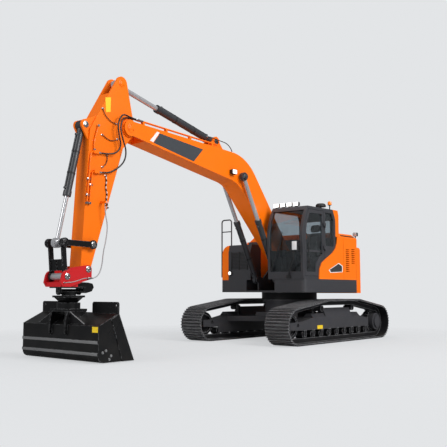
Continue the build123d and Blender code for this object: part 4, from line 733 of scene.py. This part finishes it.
# %% Arm cylinder hoses
foot_hose_diameter = 0.018
foot_hose_points = ((3.103, 0.070, 4.368), (3.103, 0.122, 4.368), (3.050, 0.170, 4.356),
                    (2.920, 0.174, 4.330), (2.700, 0.172, 4.322), (2.560, 0.167, 4.306),
                    (2.450, 0.162, 4.250), (2.385, 0.158, 4.190), (2.365, 0.158, 4.135))
barrel_port_y = 0.066
barrel_port = ((0.0, 0.0), (0.020, 0.0), (0.020, 0.018), (0.015, 0.022), (0.015, 0.042), (0.0, 0.042))
boom_port_z = 4.120
boom_port = ((0.0, 0.0), (0.022, 0.0), (0.022, 0.024), (0.015, 0.028), (0.015, 0.050), (0.0, 0.050))

barrel_ports = bmesh.new()
boom_ports = bmesh.new()
for name, side in (("left", 1), ("right", -1)):
    points = [(x, side * y, z) for x, y, z in foot_hose_points]
    bending_hose(f"arm_cylinder_hose_{name}", points, foot_hose_diameter, "hose_rubber")
    barrel_x, _, barrel_z = points[0]
    boom_x, boom_y, _ = points[-1]
    add_turned(barrel_ports, (barrel_x, side * barrel_port_y, barrel_z), (0, side, 0), barrel_port)
    add_turned(boom_ports, (boom_x, boom_y, boom_port_z), (0, 0, 1), boom_port)
close_piece("arm_cylinder_ports", barrel_ports, "arm_barrel", "zinc_plate")
close_piece("boom_top_ports", boom_ports, "boom", "zinc_plate")

# %% [markdown]
# ## Panels and labels
# The boom carries a long dark panel with a pale slash at its end, and the arm, the bucket and the track
# frame carry yellow labels. They are thin vinyl on the paint. A painted mask would lose its crisp edge, so
# each is a plate two millimetres thick on the surface, and all of them stay bare.


# %% Panels and labels
def sheet_piece(name, corners, thick, body, skin):
    """One flat sheet as a piece of its own."""
    sheet = bmesh.new()
    add_plate(sheet, corners, thick)
    close_piece(name, sheet, body, skin)


vinyl_thick = 0.002
vinyl = (0, vinyl_thick, 0)
boom_flank = 0.215
bucket_back = 6.712
track_middle = 1.195
beam_half = 0.130
panel_outline = ((4.795, 3.939), (4.631, 4.150), (3.381, 4.039), (3.665, 3.745))
slash_outline = ((4.889, 3.966), (4.703, 4.172), (4.640, 4.161), (4.803, 3.950))
arm_label_outline = ((5.935, 4.580), (5.808, 4.609), (5.811, 4.338), (5.913, 4.317))
bucket_label_outline = ((0.86, 0.485), (1.0, 0.485), (1.0, 0.575), (0.86, 0.575))
track_label_outline = ((0.640, 0.312), (0.860, 0.312), (0.860, 0.392), (0.640, 0.392))

sheet_piece("boom_panel", at_side(panel_outline, boom_flank), vinyl, "boom", "slate_vinyl")
sheet_piece("boom_panel_slash", at_side(slash_outline, boom_flank), vinyl, "boom", "white_vinyl")
sheet_piece("arm_label", at_side(arm_label_outline, arm_flank), vinyl, "arm", "label_yellow")
sheet_piece("bucket_label", [(bucket_back, y, z) for y, z in bucket_label_outline], (vinyl_thick, 0, 0),
            "tool", "label_yellow")
sheet_piece("track_frame_label", at_side(track_label_outline, track_middle + beam_half), vinyl,
            "undercarriage", "label_yellow")
print("panels and labels", 5)

# %% [markdown]
# ## Strip on the hood
# A black strip lies along the sloped edge of the engine hood. The slope rises from the hood's side, so each
# corner is set by its share of the slope.

# %% Hood strip
hood_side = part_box("engine_hood")[1][1]
slope_foot = 2.390
slope_in = 0.15
slope_up = 0.11
strip_lift = (0, 0.006, 0.008)
strip_outline = ((-0.350, 0.30), (-0.960, 0.30), (-0.960, 0.50), (-0.350, 0.50))
strip_corners = [(x, hood_side - slope_in * share, slope_foot + slope_up * share)
                 for x, share in strip_outline]
sheet_piece("hood_grip_strip", strip_corners, strip_lift, "engine_hood", "black_plastic")
print("hood strip beside", round(hood_side, 3))

# %% [markdown]
# ## Lamps
# The row on the roof and the single lamps shine white in the photograph. Each glass is a block with well
# rounded edges, or a shallow dome, that stands a few millimetres proud of its housing. The beacon is turned.

# %% Lamp glasses
lamp_count = 4
lamp_pitch = 0.175
lamp_row_middle = 0.7365
lamp_front = 1.178
lamp_z = 3.061
lamp_half_width = 0.067
lamp_half_height = 0.040
glass_sunk = 0.004
glass_proud = 0.008
glass_ease = 0.006
box_lamp_place = (1.015, -1.030, 1.564)
box_lamp_dome = ((0.0, 0.010), (0.020, 0.009), (0.036, 0.006), (0.042, 0.0))
boom_lamp_corners = ((2.392, 0.303, 3.647), (2.522, 0.315, 3.733))
beacon_place = (0.170, 1.265, 3.112)
beacon_dome = ((0.0465, 0.0), (0.0475, 0.012), (0.0445, 0.016), (0.0450, 0.060), (0.036, 0.078),
               (0.018, 0.086), (0.0, 0.088))

glasses = bmesh.new()
for index in range(lamp_count):
    y = lamp_row_middle + (index - (lamp_count - 1) / 2) * lamp_pitch
    add_block(glasses, (lamp_front - glass_sunk, y - lamp_half_width, lamp_z - lamp_half_height),
              (lamp_front + glass_proud, y + lamp_half_width, lamp_z + lamp_half_height),
              glass_ease, segments=3)
add_turned(glasses, box_lamp_place, (1, 0, 0), box_lamp_dome)
close_piece("house_lamp_glasses", glasses, "house", "lamp_glass")
boom_glass = bmesh.new()
add_block(boom_glass, *boom_lamp_corners, glass_ease, segments=3)
close_piece("boom_lamp_glass", boom_glass, "boom", "lamp_glass")
beacon = bmesh.new()
add_turned(beacon, beacon_place, (0, 0, 1), beacon_dome)
close_piece("beacon_glass", beacon, "house", "amber_glass")
print("lamp glasses", lamp_count + 3)

# %% [markdown]
# ## Mirrors
# A mirror is a moulded cup round a silvered glass. The cup's back is the pale face that the camera sees, and
# the glass faces the operator. Both are thin blocks between two corners.

# %% Mirror backs and glasses
mirror_back = ((1.605, 1.188, 2.012), (1.618, 1.308, 2.198))
mirror_glass = ((1.566, 1.192, 2.016), (1.570, 1.304, 2.194))
rear_mirror_glass = ((-1.076, 1.162, 2.476), (-1.072, 1.258, 2.554))

backs = bmesh.new()
add_block(backs, *mirror_back, ease=0.008, segments=3)
close_piece("mirror_back", backs, "house", "white_vinyl")
silver = bmesh.new()
for corners in (mirror_glass, rear_mirror_glass):
    add_block(silver, *corners, ease=0.001)
close_piece("mirror_glasses", silver, "house", "mirror_silver")
print("mirrors", 2)

# %% [markdown]
# ## Pin caps
# Every pivot ends in a round cap with a stepped rim, held by small bolts. One lathe profile serves them all,
# in shares of the cap's radius and height. A pin has its place fore and aft and its height, and the list of
# caps says how far out each one sits, how large it is and which body carries it.

# %% Pin caps
pins = {
    "boom_nose": (5.370, 4.120), "arm_heel": (5.550, 4.930), "arm_foot": (2.850, 4.310),
    "bucket_foot": (6.330, 4.020), "rocker_root": (6.203, 1.924), "rocker_end": (6.795, 1.935),
    "arm_tip": (6.310, 1.500), "link_pin": (6.742, 1.373), "boom_foot": (0.200, 1.720),
    "boom_cylinder_foot": (0.920, 1.400), "boom_cylinder_eye": (2.150, 3.620),
}
caps = (
    ("boom_nose", boom_flank, 0.082, "boom", "orange_paint"),
    ("arm_heel", arm_flank, 0.070, "arm", "orange_paint"),
    ("arm_foot", 0.118, 0.062, "boom", "dark_paint"),
    ("bucket_foot", 0.118, 0.058, "arm", "zinc_plate"),
    ("rocker_root", 0.232, 0.052, "arm", "zinc_plate"),
    ("rocker_end", 0.232, 0.060, "rockers", "tool_paint"),
    ("arm_tip", 0.240, 0.056, "arm", "zinc_plate"),
    ("link_pin", 0.240, 0.056, "coupler", "zinc_plate"),
    ("boom_foot", 0.258, 0.085, "house", "dark_paint"),
    ("boom_cylinder_foot", 0.346, 0.056, "house", "dark_paint"),
    ("boom_cylinder_eye", 0.376, 0.060, "boom_rods", "cylinder_paint"),
)
cap_profile = ((0.0, 1.0), (0.52, 1.0), (0.58, 0.86), (0.62, 0.62), (0.92, 0.62), (1.0, 0.45), (1.0, 0.0))
cap_height = 0.014
bolt_ring = 0.77
bolt_seat = 0.6
bolt_across = 0.24
bolt_height = 0.010

for name, y, radius, body, skin in caps:
    x, z = pins[name]
    profile = [(share * radius, height * cap_height) for share, height in cap_profile]
    ring = bolt_ring * radius
    cap = bmesh.new()
    for side in (1, -1):
        add_turned(cap, (x, side * y, z), (0, side, 0), profile)
        for angle in (radians(90), radians(210), radians(330)):
            place = (x + ring * cos(angle), side * (y + bolt_seat * cap_height), z + ring * sin(angle))
            add_bolt(cap, place, (0, side, 0), radius * bolt_across, bolt_height)
    close_piece("cap_" + name, cap, body, skin)
print("pin caps", 2 * len(caps))

# %% [markdown]
# ## Eyes of the boom's rods
# Each rod of the boom's cylinders ends in a round eye beside the boom. It is one ring, turned on the lathe.

# %% Rod eyes
eye_inner = 0.262
eye_width = 0.081
eye_bore = 0.050
eye_radius = 0.0925
eye_profile = ((eye_bore, 0.0), (eye_radius, 0.0), (eye_radius, eye_width), (eye_bore, eye_width),
               (eye_bore, 0.0))
eye_x, eye_z = pins["boom_cylinder_eye"]
eye_rings = bmesh.new()
for side in (1, -1):
    add_turned(eye_rings, (eye_x, side * eye_inner, eye_z), (0, side, 0), eye_profile, steps=32)
close_piece("boom_rod_eyes", eye_rings, "boom_rods", "cylinder_paint")
print("rod eyes", 2)

# %% [markdown]
# ## Vent behind the cab
# Air enters behind the cab through a vent with a pale rim. The plate of holes is the vent's outline drawn a
# little smaller. The rim is a bridge between a larger and a smaller outline, pulled out by two millimetres.


# %% Vent
def scaled_outline(outline, share_x, share_z):
    """An outline drawn larger or smaller about its middle."""
    middle_x = sum(x for x, z in outline) / len(outline)
    middle_z = sum(z for x, z in outline) / len(outline)
    return [(middle_x + (x - middle_x) * share_x, middle_z + (z - middle_z) * share_z) for x, z in outline]


vent_outline = ((0.374, 1.612), (-0.057, 1.776), (-0.222, 1.719), (-0.217, 1.579), (0.304, 1.553))
vent_floor = 1.335
mesh_thick = 0.006
rim_out = 0.0105
inner_outline = scaled_outline(vent_outline, share_x=0.93, share_z=0.90)
outer_outline = scaled_outline(vent_outline, share_x=1.03, share_z=1.05)

sheet_piece("vent_mesh", at_side(inner_outline, vent_floor), (0, mesh_thick, 0), "house", "grille_mesh")
rim = bmesh.new()
for outline in (outer_outline, inner_outline):
    loop = [rim.verts.new(place) for place in at_side(outline, vent_floor + rim_out)]
    for pair in zip(loop, loop[1:] + loop[:1]):
        rim.edges.new(pair)
bmesh.ops.bridge_loops(rim, edges=rim.edges)
pull_faces(rim, list(rim.faces), vinyl)
close_piece("vent_rim", rim, "house", "white_vinyl")
print("vent pieces", 2)

# %% [markdown]
# ## Grille of the tool box
# The tool box front is closed by a grille of flat bars and three posts. Bars are cheap blocks in one mesh,
# laid out by a loop.

# %% Tool box grille
box_front = 0.970
bar_ends = (-1.000, -0.500)
bar_first = 1.66
bar_pitch = 0.034
bar_height = 0.016
bar_thick = 0.010
bar_count = 12
bar_ease = 0.003
post_places = (-1.000, -0.760, -0.520)
post_half = 0.012
post_thick = 0.014
post_span = (1.640, 2.074)

bars = bmesh.new()
for row in range(bar_count):
    z = bar_first + bar_pitch * row
    add_block(bars, (box_front, bar_ends[0], z),
              (box_front + bar_thick, bar_ends[1], z + bar_height), bar_ease)
for y in post_places:
    add_block(bars, (box_front, y - post_half, post_span[0]),
              (box_front + post_thick, y + post_half, post_span[1]), bar_ease)
close_piece("tool_box_grille", bars, "house", "black_plastic")
print("grille bars", bar_count)

# %% [markdown]
# ## Pipes on the arm
# Steel pipes carry the oil on from the hoses, down the arm's flank to the bucket cylinder and the coupler.
# They are bent rods in the arm's own paint, held by plated clamps and ended by plated bosses.

# %% Arm pipes
pipe_radius = 0.014
pipe_gap = 0.010
pipe_out = arm_flank + pipe_radius + pipe_gap
hose_out = upper_points[-1][1]
arm_pipe_routes = (
    ((6.215, hose_out, 3.545), (6.245, pipe_out, 3.545), (6.262, pipe_out, 3.40), (6.300, pipe_out, 2.90),
     (6.318, pipe_out, 2.66)),
    ((6.195, hose_out, 3.200), (6.215, pipe_out, 3.200), (6.225, pipe_out, 3.10), (6.250, pipe_out, 2.86),
     (6.262, pipe_out, 2.66)),
    ((6.100, pipe_out, 4.02), (6.170, pipe_out, 3.80), (6.190, pipe_out, 3.68), (6.182, pipe_out, 3.60)),
)
clamp_places = ((6.290, 3.06), (6.240, 2.96), (6.306, 2.78))
clamp_half_length = 0.030
clamp_half_height = 0.020
boss_places = ((6.318, 2.64), (6.262, 2.64), (6.100, 4.03), (6.182, 3.585))
boss_profile = ((0.0, 0.046), (0.020, 0.046), (0.024, 0.040), (0.024, 0.0))

for index, route in enumerate(arm_pipe_routes):
    pipe = hose_line(f"arm_pipe_{index + 1}", route, 2 * pipe_radius, "orange_paint")
    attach(pipe, "arm")
clamps = bmesh.new()
for x, z in clamp_places:
    add_block(clamps, (x - clamp_half_length, arm_flank, z - clamp_half_height),
              (x + clamp_half_length, pipe_out + pipe_gap, z + clamp_half_height), ease=0.004)
for x, z in boss_places:
    add_turned(clamps, (x, arm_flank, z), (0, 1, 0), boss_profile)
close_piece("arm_pipe_clamps", clamps, "arm", "zinc_plate")
print("arm pipes", len(arm_pipe_routes))

# %% [markdown]
# ## Ends of the boom's pipes
# At the boom's nose each pipe ends in a bright union just before its hose. It is turned in one profile with
# two collars, along the slope of the pipe.

# %% Pipe unions
pipe_slope = radians(2.284)
pipe_way = Vector((cos(pipe_slope), 0, sin(pipe_slope)))
pipe_end_x = 5.1679
pipe_end_z = 4.3039
pipe_lanes = (0.170, 0.201)
union_back = 0.11
union_profile = ((0.0145, 0.0), (0.019, 0.004), (0.019, 0.034), (0.0165, 0.036), (0.0165, 0.058),
                 (0.0195, 0.060), (0.0195, 0.106), (0.0145, 0.109))

unions = bmesh.new()
for side in (1, -1):
    for y in pipe_lanes:
        foot = Vector((pipe_end_x, side * y, pipe_end_z)) - pipe_way * union_back
        add_turned(unions, foot, pipe_way, union_profile)
close_piece("boom_pipe_unions", unions, "boom", "zinc_plate")
print("unions", 2 * len(pipe_lanes))

# %% [markdown]
# ## Pipes along the cylinders
# Oil reaches a cylinder's rod end through a steel pipe that lies along the barrel. Each pipe is a plain
# turned bar between two ports, and two bands hold it. Barrels differ in size only, so one function does all.

# %% Cylinder pipes
line_radius = 0.011
line_gap = 0.004
first_port = 0.20
last_port = 0.13
port_sunk = 0.004
port_profile = ((0.024, 0.0), (0.024, 0.022), (0.018, 0.034), (0.0, 0.034))
band_shares = (0.30, 0.70)
band_thick = 0.004
band_width = 0.030
band_lap = 0.002
barrels = (
    ("boom_barrels", "boom_cylinder_foot", "boom_cylinder_eye", (0.302, -0.302), 0.066, 1.500, -1),
    ("arm_barrel", "arm_foot", "arm_heel", (0.0,), 0.072, 1.720, 1),
    ("bucket_barrel", "bucket_foot", "rocker_end", (0.0,), 0.062, 1.310, 1),
)


def band_profile(radius, lap=0.0):
    """A flat band round a bar, wider by a lap where it meets the bar."""
    outer = radius + band_thick
    return (radius, -lap), (outer, 0.0), (outer, band_width), (radius, band_width + lap)


def add_cylinder_pipe(lines, bands, foot, axis, out, radius, length):
    """One pipe along a barrel, with its ports and bands."""
    run = length - last_port - first_port
    beside = out * (radius + line_radius + line_gap)
    bar = ((0.0, 0.0), (line_radius, 0.0), (line_radius, run), (0.0, run))
    add_turned(lines, foot + axis * first_port + beside, axis, bar, steps=16)
    for distance in (first_port, length - last_port):
        add_turned(lines, foot + axis * distance + out * (radius - port_sunk), out, port_profile,
                   steps=16)
    for share in band_shares:
        ring = foot + axis * (first_port + share * run)
        add_turned(bands, ring, axis, band_profile(radius))
        add_turned(bands, ring + beside, axis, band_profile(line_radius, band_lap), steps=16)


for body, foot_pin, eye_pin, places, radius, length, side in barrels:
    foot_x, foot_z = pins[foot_pin]
    way = (Vector(pins[eye_pin]) - Vector(pins[foot_pin])).normalized()
    axis = Vector((way[0], 0, way[1]))
    out = Vector((-way[1], 0, way[0])) * side
    lines = bmesh.new()
    bands = bmesh.new()
    for y in places:
        add_cylinder_pipe(lines, bands, Vector((foot_x, y, foot_z)), axis, out, radius, length)
    close_piece(body + "_pipe", lines, body, "cylinder_paint")
    close_piece(body + "_bands", bands, body, "black_plastic")
print("barrels with pipes", len(barrels))

# %% [markdown]
# ## Covers on the track frames
# Mud has to slide off a track frame, so its top is a low roof, raised in the middle. Between the rollers and
# the machine's middle hangs a guard plate that keeps stones out of the chain. Both are plain sheet metal, so
# a pulled outline and a thin block will do.

# %% Track frame covers
beam_top = 0.560
ridge_half = 0.055
roofs = ((-1.020, -0.650, 0.085), (-0.650, 0.500, 0.200), (0.500, 1.020, 0.085))
guard_reach = 1.400
guard_thick = 0.004
guard_span = (0.165, 0.330)

covers = bmesh.new()
for side in (1, -1):
    middle = side * track_middle
    for rear, front, rise in roofs:
        ridge = beam_top + rise
        section = ((-beam_half, beam_top), (beam_half, beam_top), (ridge_half, ridge), (-ridge_half, ridge))
        add_plate(covers, [(rear, middle + offset, z) for offset, z in section], (front - rear, 0, 0))
    inner = side * (track_middle - beam_half)
    low_y, high_y = sorted((inner, inner - side * guard_thick))
    add_block(covers, (-guard_reach, low_y, guard_span[0]), (guard_reach, high_y, guard_span[1]))
close_piece("track_frame_covers", covers, "undercarriage", "dark_paint")
print("track frame roofs", 2 * len(roofs))

# %% [markdown]
# ## Wear plates of the bucket
# The two strips across the back and the lip are bare, scuffed steel on a black bucket. Thin plates lie on the
# strips, and the lip is a bevelled bar. Bolt heads show on the side plates.

# %% Bucket wear plates
strip_faces = (6.7258, 6.7285)
strip_half = 1.010
strip_spans = ((0.124, 0.174), (0.307, 0.357))
strip_margin = 0.003
lip_half = 1.012
lip_outline = ((5.945, 0.008), (6.090, 0.008), (6.090, 0.0118), (5.960, 0.0118))
bucket_side = 1.016
side_bolts = ((6.557, 0.201), (6.623, 0.171), (6.451, 0.114), (6.487, 0.060))
side_bolt_across = 0.034
side_bolt_height = 0.012

strips = bmesh.new()
for low, high in strip_spans:
    add_block(strips, (strip_faces[0], -strip_half, low + strip_margin),
              (strip_faces[1], strip_half, high - strip_margin), ease=0.001)
add_plate(strips, at_side(lip_outline, -lip_half), (0, 2 * lip_half, 0))
close_piece("bucket_wear_plates", strips, "tool", "worn_steel")
heads = bmesh.new()
for side in (1, -1):
    for x, z in side_bolts:
        add_bolt(heads, (x, side * bucket_side, z), (0, side, 0), side_bolt_across, side_bolt_height)
close_piece("bucket_side_bolts", heads, "tool", "worn_steel")
print("bucket bolts", 2 * len(side_bolts))

# %% [markdown]
# ## Gusset edges and link pin
# The sloped edges of the bucket's two gussets are bright along their whole length, partly rubbed steel and
# partly a painted highlight, which a broken edge mask can't show, so a thin strip lies on each. The link pin
# runs in a polished sleeve across the coupler.

# %% Gusset edges and link pin
gusset_rear = 6.655
gusset_front = 6.677
gusset_top = (0.224, 0.799)
gusset_end = (0.612, 0.602)
edge_out = 0.0015
edge_up = 0.003
gusset_slope = ((gusset_rear, *gusset_top), (gusset_front, *gusset_top), (gusset_front, *gusset_end),
                (gusset_rear, *gusset_end))
sleeve_half = 0.152
sleeve_bore = 0.046
sleeve_radius = 0.060
sleeve_end = 0.058
sleeve_ease = 0.004

# Strips of worn steel, partly scuffed edges and partly a painted highlight.
edges = bmesh.new()
for side in (1, -1):
    add_plate(edges, [(x, side * y, z) for x, y, z in gusset_slope], (0, side * edge_out, edge_up))
close_piece("gusset_edges", edges, "tool", "worn_steel")
width = 2 * sleeve_half
pin_x, pin_z = pins["link_pin"]
sleeve = bmesh.new()
add_turned(sleeve, (pin_x, -sleeve_half, pin_z), (0, 1, 0),
           ((sleeve_bore, 0.0), (sleeve_end, 0.0), (sleeve_radius, sleeve_ease),
            (sleeve_radius, width - sleeve_ease), (sleeve_end, width), (sleeve_bore, width)), steps=32)
close_piece("link_pin_sleeve", sleeve, "coupler", "rod_chrome")
print("gusset edges", 2, "sleeve width", width)

# %% [markdown]
# ## Seat
# Behind the glass stands a sprung seat. Foam under fabric is crowned and has no sharp corner, so each pad
# starts as a cube cut into a grid, rounded and swollen towards its middle, with a sewn channel down the
# centre. A cloth simulation would show little more through tinted glass.


# %% Seat pads
def add_pad(mesh, low, high, lean=0.0, crown=0.025, cuts=7):
    """A crowned pad between two corners, leaning back by a slope."""
    part = bmesh.new()
    bmesh.ops.create_cube(part, size=2.0)
    bmesh.ops.subdivide_edges(part, edges=part.edges, cuts=cuts, use_grid_fill=True)
    middle = (Vector(low) + Vector(high)) / 2
    half = (Vector(high) - Vector(low)) / 2
    for vert in part.verts:
        x, y, z = vert.co
        reach = (abs(x) ** 5 + abs(y) ** 5 + abs(z) ** 5) ** 0.2
        soft = Vector((x, y, z)) / reach
        groove = 0.35 if abs(y) < 0.08 and reach > 0.9 else 1.0
        swell = crown * groove * (1 - min(1, abs(y)) ** 2)
        place = Vector((soft.x * (half.x - 0.01), soft.y * half.y, soft.z * (half.z - 0.01)))
        place += Vector((soft.x, 0, soft.z)).normalized() * swell * 0.5 if soft.x or soft.z else Vector()
        vert.co = middle + place + Vector((-lean * (soft.z * half.z), 0, 0))
    join(mesh, part)


cab_middle = 0.8565
seat_floor = 1.450


def seat_corners(rear, front, half, low, high):
    """Two corners about the cab's middle and above its floor."""
    return (rear, cab_middle - half, seat_floor + low), (front, cab_middle + half, seat_floor + high)


seat_pads = bmesh.new()
add_pad(seat_pads, *seat_corners(0.140, 0.615, 0.245, 0.335, 0.450))
add_pad(seat_pads, *seat_corners(0.105, 0.225, 0.235, 0.460, 1.035), lean=0.12)
add_pad(seat_pads, *seat_corners(0.100, 0.178, 0.128, 1.050, 1.225), lean=0.10)
pads = close_piece("seat_pads", seat_pads, "house", "seat_fabric", sharp=60)
smooth = pads.modifiers.new("smooth", "SUBSURF")
smooth.levels = 1
smooth.render_levels = 1
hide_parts("cab_seat")
print("seat pads", 3)

# %% [markdown]
# ## Seat stand
# The seat rides on a base, a bellows over the spring and a tray. The bellows is a stack of well rounded
# slabs, which reads as folds without modelling the rubber.

# %% Seat stand
fold_first = 0.112
fold_pitch = 0.042
fold_height = 0.036
fold_count = 5

stand = bmesh.new()
add_block(stand, *seat_corners(0.185, 0.525, 0.180, 0.0, 0.110), ease=0.012)
for row in range(fold_count):
    low = fold_first + row * fold_pitch
    add_block(stand, *seat_corners(0.200, 0.510, 0.170, low, low + fold_height), ease=0.015, segments=3)
add_block(stand, *seat_corners(0.150, 0.600, 0.230, 0.322, 0.338), ease=0.004)
close_piece("seat_stand", stand, "house", "black_plastic")
print("folds", fold_count)

# %% [markdown]
# ## Cab trim
# A wiper rests on the windscreen, a handle sits under the door's window, a rail runs up the door's front edge
# and a monitor stands inside the windscreen. Each is a few blocks or plates, or a bent rod.

# %% Cab trim
wiper_motor = ((1.400, 0.470, 1.585), (1.436, 0.530, 1.635))
wiper_arm = ((1.414, 0.492, 1.62), (1.414, 0.510, 1.62), (1.421, 0.760, 2.20), (1.421, 0.744, 2.20))
wiper_blade = ((1.4105, 0.700, 1.86), (1.4105, 0.712, 1.86), (1.402, 0.800, 2.44), (1.402, 0.788, 2.44))
handle_plate = ((0.610, 1.325, 2.000), (0.700, 1.331, 2.026))
handle_grip = ((0.625, 1.331, 2.006), (0.690, 1.343, 2.020))
rail_diameter = 0.026
rail_x = 1.250
rail_route = ((1.325, 1.62), (1.375, 1.66), (1.380, 1.80), (1.380, 2.20), (1.375, 2.34), (1.325, 2.38))
monitor_screen = ((1.120, 0.500, 1.900), (1.150, 0.700, 2.050))
monitor_post = ((1.130, 0.585, 1.450), (1.145, 0.615, 1.905))

wiper = bmesh.new()
add_block(wiper, *wiper_motor, ease=0.008)
add_plate(wiper, wiper_arm, thick=(0.010, 0, 0))
add_plate(wiper, wiper_blade, thick=(0.012, 0, 0))
close_piece("windscreen_wiper", wiper, "house", "black_plastic")
handle = bmesh.new()
add_block(handle, *handle_plate, ease=0.002)
add_block(handle, *handle_grip, ease=0.004)
close_piece("door_handle", handle, "cab_door", "black_plastic")
rail = hose_line("door_rail", [(rail_x, y, z) for y, z in rail_route], rail_diameter, "black_plastic")
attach(rail, "cab_door")
monitor = bmesh.new()
add_block(monitor, *monitor_screen, ease=0.008, segments=3)
add_block(monitor, *monitor_post, ease=0.004)
close_piece("cab_monitor", monitor, "house", "black_plastic")
print("cab trim", 4)
